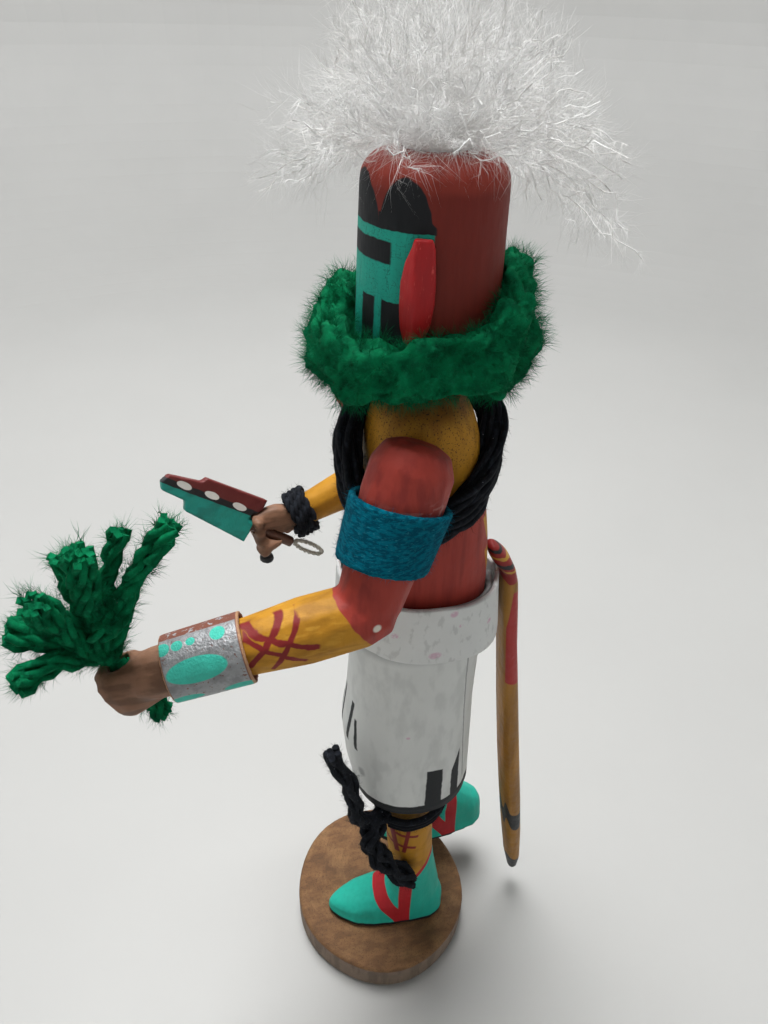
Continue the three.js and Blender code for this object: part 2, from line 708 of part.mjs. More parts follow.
function makeLegYarn() {
  const tie = ringAround(16, (angle) => section(8, 1.6, 2.8, (a, b) => v(
    7.9 + (7.7 + a) * Math.cos(angle),
    4.5 + (8.5 + a) * Math.sin(angle),
    64.8 + 1.2 * Math.sin(angle) + b,
  )));
  const tuft = limb([
    { x: 10.8, y: -3.6, z: 64.6, wide: 2.0, deep: 2.0 },
    { x: 12.6, y: -9.4, z: 65.8, wide: 2.6, deep: 2.4 },
    { x: 13.8, y: -11.0, z: 74.0, wide: 2.3, deep: 2.1 },
    { x: 14.1, y: -12.3, z: 83.8, wide: 2.4, deep: 2.2 },
    { x: 14.1, y: -15.2, z: 93.2, wide: 2.5, deep: 2.3 },
    { x: 14.1, y: -17.1, z: 98.7, wide: 1.7, deep: 1.5 },
  ], v(0, 1, 0), 8);
  const tail = limb([
    { x: 11.2, y: -3.8, z: 64.4, wide: 2.0, deep: 2.0 },
    { x: 14.2, y: -7.4, z: 60.6, wide: 2.5, deep: 2.4 },
    { x: 16.0, y: -2.8, z: 49.0, wide: 2.7, deep: 2.5 },
    { x: 16.4, y: 2.4, z: 41.6, wide: 2.6, deep: 2.4 },
    { x: 16.4, y: 4.2, z: 39.0, wide: 1.6, deep: 1.5 },
  ], v(0, 1, 0), 8);
  const leg = limb(grown(smooth(LEFT_LEG, 2), GAP), v(1, 0, 0), 12);
  return largest(joined(tie, tuft, tail).subtract(leg));
}

// Tufts make the ruff's surface lumpy. It stands tallest behind the head, hangs lowest in front
// and dips under the left ear.
function makeRuff() {
  const sides = 10;
  const ruff = ringAround(26, (angle) => {
    const back = Math.max(0, Math.sin(angle)) ** 2;
    const front = Math.max(0, -Math.sin(angle)) ** 2;
    const fromEar = (angle > Math.PI ? angle - 2 * Math.PI : angle) + 0.9;
    const dip = Math.exp(-(fromEar ** 2) / 0.25);
    const top = RUFF_TOP_Z + 5.6 * back - 2.6 * dip;
    const bottom = RUFF_BOTTOM_Z - 2.6 * back - 3.4 * front;
    return Array.from({ length: sides }, (_, j) => {
      const round = (2 * Math.PI * j) / sides;
      const lump = 1 + 0.05 * Math.sin(7 * angle + 2 * round) + 0.05 * Math.sin(11 * angle - 3 * round);
      const [out, up] = sectionPoint(round, RUFF_THICKNESS / 2, (top - bottom) / 2, 2.6);
      const radius = RUFF_RADIUS + lump * out;
      return v(
        AXIS_X + radius * Math.cos(angle),
        RUFF_Y + radius * Math.sin(angle),
        (top + bottom) / 2 + lump * up,
      );
    });
  });
  return largest(ruff.subtract(makeHead(GAP)).subtract(makeEar(64, GAP)).subtract(makeEar(-64, GAP)));
}

// The tips of the bundle's strands, and how thick each strand is.
const BUNDLE_TIPS = [
  { x: 22.9, y: -40.2, z: 168.9, thick: 1.9 },
  { x: 20.9, y: -47.4, z: 167.1, thick: 1.2 },
  { x: 25.9, y: -52.6, z: 167.7, thick: 2.6 },
  { x: 18.9, y: -56.4, z: 162.7, thick: 2.2 },
  { x: 26.9, y: -60.2, z: 160.7, thick: 2.6 },
  { x: 22.9, y: -66.0, z: 152.7, thick: 2.8 },
  { x: 28.9, y: -65.2, z: 147.7, thick: 2.2 },
  { x: 17.9, y: -61.8, z: 146.7, thick: 2.2 },
];

function makeBundle() {
  const { grip, gripWay, gripRadius } = LEFT_ARM;
  const stem = gripRadius - GAP;
  const root = grip.clone().addScaledVector(gripWay, -6.4);
  const foot = grip.clone().addScaledVector(gripWay, 6.4);
  const through = limb([
    pointOn(root, foot, -0.1, stem, stem),
    pointOn(root, foot, 1, stem, stem),
    pointOn(root, foot, 1.12, 2.3, 2.1),
    pointOn(root, foot, 1.36, 2.1, 1.9),
    pointOn(root, foot, 1.46, 1.3, 1.3),
  ], v(1, 0, 0), 8);
  const knotFrom = root.clone().add(v(0, 0.2, -0.6));
  const knotTo = root.clone().add(v(0.4, -2.2, 6));
  const knot = capsule(knotFrom, knotTo, 3.5, 1.1, v(1, 0, 0), 8);
  const strands = BUNDLE_TIPS.map(({ x, y, z, thick }) => {
    const tip = v(x, y, z);
    const from = root.clone().add(v(0.2, -0.8, 2.4));
    const bow = from.clone().lerp(tip, 0.5).add(v(0, -1.0, 1.6));
    return limb([
      pointOn(from, bow, 0, thick, thick),
      pointOn(bow, tip, 0, thick * 1.1, thick * 1.1),
      pointOn(bow, tip, 1, thick * 0.8, thick * 0.8),
    ], v(1, 0, 0), 6);
  });
  return joined(through, knot.subtract(makeArm(LEFT_ARM, GAP)), ...strands.map(
    (strand) => strand.subtract(makeArm(LEFT_ARM, GAP))));
}

// The plume: a burst of down on the crown. It droops past the head in front, behind and on the
// right, and is swept up clear of the crown on the left.

// Each level of the plume: its share of the reach and its height above the crown.
const PLUME_DROOPED = [
  [0.03, 25.0], [0.3, 23.4], [0.5, 18.6], [0.6, 11.6], [0.74, 4.6], [1.0, -1.6],
  [0.97, -7.6], [0.78, -12.0], [0.6, -8.6], [0.46, -3.0], [0.2, 0.2], [0.02, 0.4],
];
const PLUME_SWEPT = [
  [0.03, 25.0], [0.35, 23.4], [0.62, 20.4], [0.82, 15.6], [0.94, 11.0], [1.0, 7.6],
  [0.97, 5.8], [0.84, 4.9], [0.66, 3.9], [0.48, 2.9], [0.24, 1.5], [0.02, 0.4],
];
const PLUME_SWEPT_WAY = THREE.MathUtils.degToRad(-15);

function makePlume() {
  const sides = 24;
  const rise = (PLUME_TOP_Z - HEAD_TOP_Z) / PLUME_DROOPED[0][1];
  const rings = PLUME_DROOPED.map(([farShare, farHeight], i) => {
    const [nearShare, nearHeight] = PLUME_SWEPT[i];
    return Array.from({ length: sides }, (_, j) => {
      const angle = (2 * Math.PI * j) / sides;
      const off = Math.acos(Math.cos(angle - PLUME_SWEPT_WAY));
      const droop = THREE.MathUtils.smoothstep(off, 0.5, 1.25);
      const back = 0.5 + 0.5 * Math.sin(angle);
      const tuft = 1 + 0.07 * Math.sin(9 * angle) * Math.sin(Math.PI * (i / (PLUME_DROOPED.length - 1)));
      const reach = PLUME_REACH * tuft * (0.76 + droop * (0.12 + 0.3 * back));
      const radius = reach * (nearShare + (farShare - nearShare) * droop);
      const height = nearHeight + (farHeight - nearHeight) * droop;
      return v(
        AXIS_X + radius * Math.cos(angle),
        AXIS_Y + radius * Math.sin(angle),
        HEAD_TOP_Z + (height > 0 ? height * rise : height * (0.6 + 0.9 * back)),
      );
    });
  });
  return skin(rings).subtract(makeHead(GAP));
}

// The wand: a flat stepped board, with its handle, a peg under the fist and a loop of thong

function wandFrame() {
  const lean = THREE.MathUtils.degToRad(25);
  const up = v(0, WAND_DIRECTION.z, -WAND_DIRECTION.y);
  const across = v(-1, 0, 0).multiplyScalar(Math.sin(lean)).addScaledVector(up, Math.cos(lean));
  return { across, face: WAND_DIRECTION.clone().cross(across).normalize() };
}

// Each corner of the board: how far along the wand and how far across it.
const WAND_OUTLINE = [
  [0, -3.9], [14.3, -2.8], [15.2, -0.9], [20.3, -0.8], [21.2, 0.7],
  [20.4, 2.6], [13.8, 4.0], [13.2, 5.1], [-0.7, 6.1],
];

function makeWand() {
  const shape = new THREE.Shape(WAND_OUTLINE.map(([a, b]) => new THREE.Vector2(a, b)));
  const board = new THREE.ExtrudeGeometry(shape, { depth: WAND_THICKNESS, bevelEnabled: false });
  board.translate(0, 0, -WAND_THICKNESS / 2);
  const { across, face } = wandFrame();
  const start = WAND_GRIP.clone().addScaledVector(WAND_DIRECTION, 5.0);
  const place = new THREE.Matrix4().makeBasis(WAND_DIRECTION, across, face);
  place.setPosition(start);
  board.applyMatrix4(place);
  const end = WAND_GRIP.clone().addScaledVector(WAND_DIRECTION, -HANDLE_BELOW_GRIP);
  const handle = limb([
    pointOn(end, start, 0, HANDLE_RADIUS, HANDLE_RADIUS),
    pointOn(end, start, 1.1, HANDLE_RADIUS, HANDLE_RADIUS),
  ], v(1, 0, 0), 10);
  return joined(solidOf(board).subtract(makeArm(RIGHT_ARM, GAP)), handle);
}

function makePeg() {
  const from = RIGHT_FIST.clone().add(v(1.4, -1.4, -7.2));
  return capsule(from, from.clone().add(v(0, -0.2, -1.6)), 1.6, 1.0, v(1, 0, 0), 10);
}

function makeThong() {
  const back = WAND_DIRECTION.clone().multiplyScalar(-1);
  const start = WAND_GRIP.clone().addScaledVector(back, HANDLE_BELOW_GRIP + 0.9).add(v(0, 0, 0.6));
  const across = v(0.25, 0.57, 0.78).normalize();
  const third = back.clone().cross(across);
  return ringAround(14, (angle) => {
    const centre = start.clone()
      .addScaledVector(back, 3.6 * (1 - Math.cos(angle))).addScaledVector(across, 1.3 * Math.sin(angle));
    const out = back.clone().multiplyScalar(-Math.cos(angle))
      .addScaledVector(across, Math.sin(angle)).normalize();
    return section(6, 0.5, 0.5, (a, b) => centre.clone().addScaledVector(out, a).addScaledVector(third, b));
  });
}

const doll = new THREE.Group();
doll.add(
  named("base", geometryOf(makeBase()), "wood"),
  named("figure", geometryOf(makeFigure()), "redBrown"),
  named("left_ear", geometryOf(makeEar(64)), "red"),
  named("right_ear", geometryOf(makeEar(-64)), "red"),
  named("left_arm", geometryOf(makeArm(LEFT_ARM)), "redBrown"),
  named("right_arm", geometryOf(makeArm(RIGHT_ARM)), "redBrown"),
  named("left_armband", geometryOf(makeLeftArmband()), "teal"),
  named("right_armband", geometryOf(makeRightArmband()), "teal"),
  named("bow_guard", geometryOf(makeBowGuard()), "leather"),
  named("wristband", geometryOf(makeWristband()), "blackYarn"),
  named("kilt", geometryOf(makeKilt()), "white"),
  named("belt", geometryOf(makeBelt()), "white"),
  named("fox_pelt", geometryOf(makePelt()), "ochre"),
  named("bandolier", geometryOf(makeBandolier()), "blackYarn"),
  named("leg_yarn", geometryOf(makeLegYarn()), "blackYarn"),
  named("ruff", geometryOf(makeRuff()), "greenYarn"),
  named("yarn_bundle", geometryOf(makeBundle()), "greenYarn"),
  named("plume", geometryOf(makePlume()), "down"),
  named("wand", geometryOf(makeWand()), "turquoise"),
  named("peg", geometryOf(makePeg()), "blackYarn"),
  named("thong", geometryOf(makeThong()), "thong"),
);

export default doll;
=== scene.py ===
# The looks of a carved and painted kachina doll, dressed with yarn, felt, leather and down.
# Metres, +Z up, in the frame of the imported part. Paint is laid out in millimetres.

import math

import bmesh
import bpy
import numpy as np
from mathutils import Matrix, Vector, noise
from mathutils.bvhtree import BVHTree


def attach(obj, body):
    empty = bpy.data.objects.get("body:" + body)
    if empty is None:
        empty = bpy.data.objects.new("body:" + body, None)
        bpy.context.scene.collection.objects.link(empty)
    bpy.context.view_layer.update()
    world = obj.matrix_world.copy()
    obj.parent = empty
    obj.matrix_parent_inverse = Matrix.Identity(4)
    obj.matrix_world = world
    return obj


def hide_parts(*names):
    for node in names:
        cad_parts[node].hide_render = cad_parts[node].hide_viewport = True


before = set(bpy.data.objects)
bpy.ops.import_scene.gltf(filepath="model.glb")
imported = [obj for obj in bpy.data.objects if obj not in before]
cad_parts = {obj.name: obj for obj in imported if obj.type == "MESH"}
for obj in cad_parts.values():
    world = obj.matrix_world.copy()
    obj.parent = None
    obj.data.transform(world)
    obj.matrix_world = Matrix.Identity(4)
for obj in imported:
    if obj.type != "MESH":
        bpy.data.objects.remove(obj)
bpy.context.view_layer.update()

MM = 0.001
RNG = np.random.default_rng(11)
BODY = "root"


def point(x, y, z):
    """A place in millimetres, as a vector in metres."""
    return Vector((x, y, z)) * MM


# Places on the carved figure, in millimetres
HEAD_AXIS = (0.9, 3.0)
HEAD_TOP = 213.6
FACE_TURN = 3.0
KILT_AXIS = (1.2, 4.5)
LEFT_ELBOW = (23.4, -11.7, 146.0)
LEFT_WRIST = (23.1, -46.2, 139.5)
RIGHT_ELBOW = (-20.6, 11.5, 149.5)
RIGHT_WRIST = (-19.0, -16.4, 137.6)
WAND_GRIP = (-16.6, -23.4, 134.6)
WAND_START = (-16.6, -27.43, 137.56)
WAND_ALONG = (0, -0.806, 0.592)
WAND_ACROSS = (-0.4226, 0.5365, 0.7305)
SOLE_HEIGHT = 9.7
BASE_HEIGHT = 9.4
FOOT_LIFT = 10.4

# The view of the photograph, in degrees and millimetres
CAMERA_AZIMUTH = 75.0
CAMERA_PITCH = 36.0
CAMERA_ROLL = 1.94
CAMERA_LENS = 26.02
CAMERA_PLACE = (111.36, -32.6, 232.73)

# Each lamp's name, place and width in metres, power in watts and tint
LAMPS = (
    ("overhead", (-0.2, -0.05, 0.95), 0.45, 12.0, (1, 1, 1)),
    ("window_front", (-0.1, -0.9, 0.4), 0.45, 9.0, (1.0, 0.99, 0.97)),
    ("window_back", (-0.1, 0.9, 0.4), 0.45, 10.5, (0.97, 0.99, 1.0)),
)
LIT_PLACE = (0, 0, 130)
ROOM_LIGHT = (0.9, 0.93, 0.96, 1)
ROOM_STRENGTH = 0.16

# The floor's flat part, the bend into its wall and the wall's height, in metres
FLOOR_FLAT = 0.55
FLOOR_BEND = 0.3
FLOOR_WALL = 1.2
FLOOR_SIDES = 160

# The share of faces that stays on a carved piece once it is worn smooth
FACES_KEPT = 0.5


def placed(name, data):
    """A new object in the scene, at the origin."""
    item = bpy.data.objects.new(name, data)
    bpy.context.scene.collection.objects.link(item)
    return item


# Camera, light and floor

def place_camera():
    """Close by, from the figure's left and above, with a slight roll."""
    azimuth, pitch, roll = (math.radians(a) for a in (CAMERA_AZIMUTH, CAMERA_PITCH, CAMERA_ROLL))
    ahead = Vector((-math.sin(azimuth), math.cos(azimuth), 0))
    right = Vector((math.cos(azimuth), math.sin(azimuth), 0))
    upright = Vector((0, 0, math.cos(pitch))) + ahead * math.sin(pitch)
    look = ahead * math.cos(pitch) - Vector((0, 0, math.sin(pitch)))
    side = right * math.cos(roll) + upright * math.sin(roll)
    top = upright * math.cos(roll) - right * math.sin(roll)
    data = bpy.data.cameras.new("camera")
    data.lens = CAMERA_LENS
    data.clip_start = 0.01
    camera = placed("camera", data)
    turn = Matrix((side, top, -look)).transposed()
    camera.matrix_world = Matrix.Translation(point(*CAMERA_PLACE)) @ turn.to_4x4()
    bpy.context.scene.camera = camera


def place_lights():
    """Soft round lamps that face the doll, and a weak even light from all round."""
    target = point(*LIT_PLACE)
    for name, place, size, power, tint in LAMPS:
        data = bpy.data.lights.new(name, "AREA")
        data.shape = "DISK"
        data.size = size
        data.energy = power
        data.color = tint
        light = placed(name, data)
        light.location = Vector(place)
        light.rotation_euler = (light.location - target).to_track_quat("Z", "Y").to_euler()
    world = bpy.data.worlds.new("studio")
    world.use_nodes = True
    background = world.node_tree.nodes["Background"]
    background.inputs["Color"].default_value = ROOM_LIGHT
    background.inputs["Strength"].default_value = ROOM_STRENGTH
    bpy.context.scene.world = world
    bpy.context.scene.view_settings.view_transform = "Standard"


def make_floor():
    """A round pale floor that curves up into a low wall."""
    profile = [(FLOOR_FLAT * k / 6, 0.0) for k in range(1, 7)]
    for k in range(1, 25):
        a = math.radians(90 * k / 24)
        profile.append((FLOOR_FLAT + FLOOR_BEND * math.sin(a), FLOOR_BEND * (1 - math.cos(a))))
    profile.append((FLOOR_FLAT + FLOOR_BEND, FLOOR_WALL))
    sides = FLOOR_SIDES
    points = [(0, 0, 0)]
    for radius, height in profile:
        for j in range(sides):
            a = 2 * math.pi * j / sides
            points.append((radius * math.cos(a), radius * math.sin(a), height))
    faces = [(0, 1 + j, 1 + (j + 1) % sides) for j in range(sides)]
    for i in range(len(profile) - 1):
        for j in range(sides):
            a, b = 1 + i * sides + j, 1 + i * sides + (j + 1) % sides
            faces.append((a, a + sides, b + sides, b))
    floor = new_piece("floor", points, faces)
    finish = Finish("pale_board", roughness=0.55)
    finish.coat(srgb(180, 180, 178))
    finish.vary(finish.noise(0.012, 3), 0.04)
    floor.data.materials.append(finish.material)


# Colour and material fields

def srgb(red, green, blue):
    """A colour seen on a screen, as linear light."""
    def linear(value):
        value /= 255
        return value / 12.92 if value <= 0.04045 else ((value + 0.055) / 1.055) ** 2.4
    return (linear(red), linear(green), linear(blue), 1)


BLACK_PAINT = srgb(27, 29, 33)
TURQUOISE = srgb(34, 172, 152)
OXIDE_RED = srgb(122, 42, 33)
BODY_RED = srgb(162, 60, 50)
OCHRE = srgb(186, 132, 34)
DEEP_OCHRE = srgb(140, 92, 20)
STRAP_RED = srgb(176, 34, 42)
STROKE_RED = srgb(124, 34, 34)
BARE_WOOD = srgb(136, 100, 78)
WHITE_PAINT = srgb(214, 216, 214)
PINK = srgb(205, 150, 180)


class Field:
    """A number worked out by a material at every place on a surface."""

    def __init__(self, tree, socket):
        self.tree = tree
        self.socket = socket

    def math(self, kind, *others):
        node = self.tree.nodes.new("ShaderNodeMath")
        node.operation = kind
        for slot, value in zip(node.inputs, (self,) + others):
            feed(self.tree, slot, value)
        return Field(self.tree, node.outputs[0])

    def __add__(self, other):
        return self.math("ADD", other)

    __radd__ = __add__

    def __sub__(self, other):
        return self.math("SUBTRACT", other)

    def __rsub__(self, other):
        return (self * -1) + other

    def __mul__(self, other):
        return self.math("MULTIPLY", other)

    __rmul__ = __mul__

    def __truediv__(self, other):
        return self.math("DIVIDE", other)

    def size(self):
        return self.math("ABSOLUTE")

    def root(self):
        return self.math("SQRT")

    def sine(self):
        return self.math("SINE")

    def larger(self, other):
        return self.math("MAXIMUM", other)

    def over(self, edge, soft=0.08):
        """0 below the edge and 1 above it, with a soft step between."""
        node = self.tree.nodes.new("ShaderNodeMapRange")
        node.interpolation_type = "SMOOTHSTEP"
        feed(self.tree, node.inputs["Value"], self - edge)
        node.inputs["From Min"].default_value = -soft
        node.inputs["From Max"].default_value = soft
        return Field(self.tree, node.outputs["Result"])

    def under(self, edge, soft=0.08):
        return 1 - self.over(edge, soft)

    def within(self, low, high, soft=0.08):
        return self.over(low, soft) * self.under(high, soft)


def feed(tree, slot, value):
    if isinstance(value, Field):
        tree.links.new(value.socket, slot)
    else:
        slot.default_value = value


class Finish:
    """A material whose colour is laid on in coats, over fields of the object's own millimetres."""

    def __init__(self, name, roughness, specular=0.5):
        self.material = bpy.data.materials.new(name)
        self.material.use_nodes = True
        self.tree = self.material.node_tree
        self.shader = self.tree.nodes["Principled BSDF"]
        self.shader.inputs["Roughness"].default_value = roughness
        self.shader.inputs["Specular IOR Level"].default_value = specular
        coordinates = self.tree.nodes.new("ShaderNodeTexCoord")
        scaled = self.tree.nodes.new("ShaderNodeVectorMath")
        scaled.operation = "SCALE"
        scaled.inputs["Scale"].default_value = 1 / MM
        self.tree.links.new(coordinates.outputs["Object"], scaled.inputs[0])
        self.place = scaled.outputs[0]
        parts = self.tree.nodes.new("ShaderNodeSeparateXYZ")
        self.tree.links.new(self.place, parts.inputs[0])
        self.x, self.y, self.z = (Field(self.tree, parts.outputs[k]) for k in range(3))
        self.ground = None
        self.colour = None
        self.bump = None

    def noise(self, scale, detail=2, stretch=(1, 1, 1), roughness=0.5, distortion=0.0):
        """Soft random numbers from 0 to 1, `scale` lumps to the millimetre."""
        stretched = self.tree.nodes.new("ShaderNodeVectorMath")
        stretched.operation = "MULTIPLY"
        self.tree.links.new(self.place, stretched.inputs[0])
        stretched.inputs[1].default_value = stretch
        node = self.tree.nodes.new("ShaderNodeTexNoise")
        node.inputs["Scale"].default_value = scale
        node.inputs["Detail"].default_value = detail
        node.inputs["Roughness"].default_value = roughness
        node.inputs["Distortion"].default_value = distortion
        self.tree.links.new(stretched.outputs[0], node.inputs["Vector"])
        return Field(self.tree, node.outputs["Fac"])

    def along(self, direction, origin):
        """How far a place lies from the origin along a direction."""
        return (
            (self.x - origin[0]) * direction[0]
            + (self.y - origin[1]) * direction[1]
            + (self.z - origin[2]) * direction[2]
        )

    def coat(self, colour, mask=None):
        """Lays a colour over what is there, where the mask is 1."""
        if self.ground is None:
            self.ground = colour
            self.shader.inputs["Base Color"].default_value = colour
            return
        node = self.tree.nodes.new("ShaderNodeMix")
        node.data_type = "RGBA"
        feed(self.tree, node.inputs["Factor"], mask)
        self.take_colour(node.inputs[6])
        node.inputs[7].default_value = colour
        self.give_colour(node.outputs[2])

    def take_colour(self, slot):
        """Feeds a socket with the colour so far: the first coat's own value, or the last node's result."""
        if self.colour is None:
            slot.default_value = self.ground
        else:
            self.tree.links.new(self.colour, slot)

    def give_colour(self, result):
        self.colour = result
        self.tree.links.new(result, self.shader.inputs["Base Color"])

    def vary(self, field, amount):
        """Lightens and darkens the colour by a share, where the field is above or below a half."""
        node = self.tree.nodes.new("ShaderNodeHueSaturation")
        feed(self.tree, node.inputs["Value"], (field - 0.5) * (2 * amount) + 1)
        self.take_colour(node.inputs["Color"])
        self.give_colour(node.outputs[0])

    def relief(self, field, height):
        """Raises the surface by the field, times a height in millimetres."""
        node = self.tree.nodes.new("ShaderNodeBump")
        node.inputs["Strength"].default_value = 1.0
        node.inputs["Distance"].default_value = height * MM
        feed(self.tree, node.inputs["Height"], field)
        if self.bump is not None:
            self.tree.links.new(self.bump, node.inputs["Normal"])
        self.bump = node.outputs[0]
        self.tree.links.new(self.bump, self.shader.inputs["Normal"])

    def roughness(self, field):
        self.tree.links.new(field.socket, self.shader.inputs["Roughness"])


def stroke(across, up, start, end, half):
    """A brush stroke between two places of a plane, with soft edges."""
    run, rise = end[0] - start[0], end[1] - start[1]
    length = math.hypot(run, rise)
    along = ((across - start[0]) * run + (up - start[1]) * rise) / length
    beside = (across - start[0]) * (rise / length) - (up - start[1]) * (run / length)
    return beside.size().under(half, 0.12) * along.within(0, length, 0.25)


def strokes(across, up, lines):
    """Several brush strokes, each line giving a start, an end and half the width."""
    marks = stroke(across, up, *lines[0])
    for line in lines[1:]:
        marks = marks.larger(stroke(across, up, *line))
    return marks


def ellipse(across, up, centre, half_across, half_up, tilt=0.0, soft=0.05):
    c, s = math.cos(math.radians(tilt)), math.sin(math.radians(tilt))
    a = ((across - centre[0]) * c + (up - centre[1]) * s) / half_across
    b = ((up - centre[1]) * c - (across - centre[0]) * s) / half_up
    return (a * a + b * b).root().under(1, soft)


# Paint

def wood_under_paint(finish, height=0.05):
    """Faint knife facets, brush marks and pores of soft root wood under paint."""
    finish.relief(finish.noise(0.35, 1), height * 4)
    finish.relief(finish.noise(2.2, 3, (1, 1, 0.16)), height)
    finish.relief(finish.noise(7.0, 2), height * 0.4)


def paint_head(finish, face, height):
    """The mask: an oxide red cylinder with a turquoise face panel, black bars and black cloud humps, and a
    painted highlight of lighter red on its crown.
    """
    wobble = (finish.noise(0.5, 2) - 0.5) * 1.2
    angle = face + wobble * 2
    level = height + wobble * 0.5
    head = height.over(178.5, 0.2)
    finish.coat(OXIDE_RED, head)
    # Painted highlight: the crown above 209 mm is a lighter red, for light falling on it from above.
    finish.coat(srgb(150, 58, 46), head * level.over(209.0, 0.8) * 0.6)
    width = angle.size().under(66, 1.0).larger(angle.size().under(71.5, 1.0) * level.over(201.5, 0.3))
    panel = head * width * level.under(204.0)
    finish.coat(TURQUOISE, panel)
    cracks = (finish.noise(0.9, 4, (1, 1, 0.3)) - 0.5).size().under(0.006, 0.006)
    cracks = cracks.larger((finish.noise(1.1, 4, (0.35, 0.35, 1.4)) - 0.5).size().under(0.005, 0.005))
    finish.coat(srgb(12, 84, 78), panel * cracks * 0.75)
    eyes = angle.size().under(39.5, 1.2) * level.within(199.1, 202.2, 0.12)
    cheeks = angle.size().within(10, 25.4, 0.8).larger(angle.size().within(32.5, 60, 0.8))
    cheeks = cheeks * level.under(193.8)
    finish.coat(BLACK_PAINT, panel * eyes.larger(cheeks))
    humps = ellipse(angle, level, (0, 203.6), 27.0, 7.1, soft=0.02)
    for side in (-1, 1):
        humps = humps.larger(ellipse(angle, level, (side * 48.5, 203.4), 21.5, 7.4, soft=0.02))
        point_down = ((angle * side - 64).larger(0)) * 0.13
        skirt = (angle * side).within(26, 73, 1.0) * (206.0 - point_down - level).over(0, 0.1)
        humps = humps.larger(skirt)
    centre_skirt = angle.size().under(27, 1.0) * level.under(205.4)
    finish.coat(BLACK_PAINT, head * level.over(203.8) * humps.larger(centre_skirt))


def paint_trunk(finish):
    """An ochre yoke over a red-brown trunk, with ochre dashes down the back."""
    wobble = (finish.noise(0.25, 2) - 0.5) * 4
    trunk = finish.z.within(100, 178.5, 0.2)
    finish.coat(BODY_RED, trunk)
    finish.coat(srgb(120, 42, 38), trunk * finish.noise(0.5, 4, (1, 1, 0.1)).over(0.55, 0.1) * 0.5)
    yoke = trunk * (finish.z + wobble).over(157, 0.25)
    finish.coat(OCHRE, yoke)
    finish.coat(srgb(150, 100, 22), yoke * finish.noise(0.5, 4, (1, 1, 0.12)).over(0.52, 0.1) * 0.6)
    for side in (-1, 1):
        for low, high in ((151.0, 145.4), (143.2, 137.4)):
            dash = stroke(finish.x, finish.z, (side * 5.2 + 2.2, low), (side * 5.2 + 1.2, high), 1.0)
            finish.coat(OCHRE, trunk * dash * finish.y.over(8))
    shadow = finish.z.over(173.5, 3.0) * finish.z.under(178.5)
    finish.coat(srgb(58, 40, 16), trunk * shadow * 0.85)
    specks = finish.noise(3.4, 2).over(0.62, 0.02) * finish.z.over(165.0, 2.5)
    finish.coat(srgb(18, 14, 10), trunk * specks * 0.8)


def paint_foot(finish, region, turn, centre, lift):
    """A turquoise moccasin with a black sole and red straps, in the foot's own frame."""
    c, s = math.cos(math.radians(turn)), math.sin(math.radians(turn))
    along = (finish.y - centre[1]) * c - (finish.x - centre[0]) * s
    up = finish.z - lift
    cuff_line = along * 0.75 + 18.2 + (along.larger(0) * along.larger(0)) * 0.06
    boot = region * (cuff_line - up).over(0, 0.12)
    finish.coat(TURQUOISE, boot)
    cuff = (cuff_line - up).within(-0.6, 1.9, 0.15)
    diagonal = stroke(along, up, (-3.2, 12.8), (5.0, 1.0), 2.0)
    upright = along.within(3.2, 6.6, 0.2)
    straps = (diagonal.larger(upright) * boot).larger(cuff * region)
    finish.coat(STRAP_RED, straps)
    finish.coat(BLACK_PAINT, region * up.under(1.5, 0.12))


LEG_HATCHING = (
    ((-3.5, 56.5), (5.5, 55.6), 0.5), ((-3.5, 52.0), (5.0, 51.0), 0.5),
    ((-1.0, 59.0), (0.6, 48.2), 0.55), ((3.0, 59.0), (2.0, 48.6), 0.5),
)
LEFT_ARM_HATCHING = (
    ((-33.4, 147.6), (-20.3, 145.2), 0.45), ((-32.2, 146.6), (-22.4, 142.6), 0.42),
    ((-25.6, 149.4), (-31.6, 142.4), 0.45), ((-23.2, 149.4), (-28.0, 141.0), 0.42),
)
RIGHT_ARM_HATCHING = (
    ((8.0, 152.0), (-5.0, 143.5), 0.7), ((6.0, 147.5), (-6.0, 140.0), 0.7),
    ((2.5, 152.0), (3.5, 141.0), 0.7), ((-1.5, 149.5), (-0.5, 138.5), 0.7),
)


def paint_legs(finish):
    """Ochre legs, hatched in dark red below the knee."""
    legs = finish.z.under(100.2, 0.2)
    finish.coat(OCHRE, legs)
    finish.coat(DEEP_OCHRE, legs * finish.noise(0.2, 3).over(0.56, 0.1) * 0.5)
    for side, shift, rise in ((1, 0.0, 0.0), (-1, 10.0, 6.0)):
        region = legs * (finish.x * side).over(0, 0.3)
        across, up = finish.y - shift, finish.z - rise
        finish.coat(STROKE_RED, region * strokes(across, up, LEG_HATCHING))
    paint_foot(finish, legs * finish.x.over(-0.9, 0.3), -9, (6.2, -0.2), SOLE_HEIGHT)
    paint_foot(finish, legs * finish.x.under(-0.9, 0.3), 1, (-10.2, 17.4), SOLE_HEIGHT + FOOT_LIFT)


def figure_paint():
    finish = Finish("figure_paint", roughness=0.58, specular=0.25)
    finish.coat(BODY_RED)
    turn = math.radians(FACE_TURN)
    right = finish.x - HEAD_AXIS[0]
    back = finish.y - HEAD_AXIS[1]
    ahead = right * math.sin(turn) - back * math.cos(turn)
    aside = right * math.cos(turn) + back * math.sin(turn)
    face = aside.math("ARCTAN2", ahead) * (180 / math.pi)
    paint_trunk(finish)
    paint_legs(finish)
    paint_head(finish, face, finish.z)
    finish.vary(finish.noise(0.9, 4, (1, 1, 0.12)), 0.16)
    finish.vary(finish.noise(0.08, 2), 0.12)
    wood_under_paint(finish)
    return finish.material


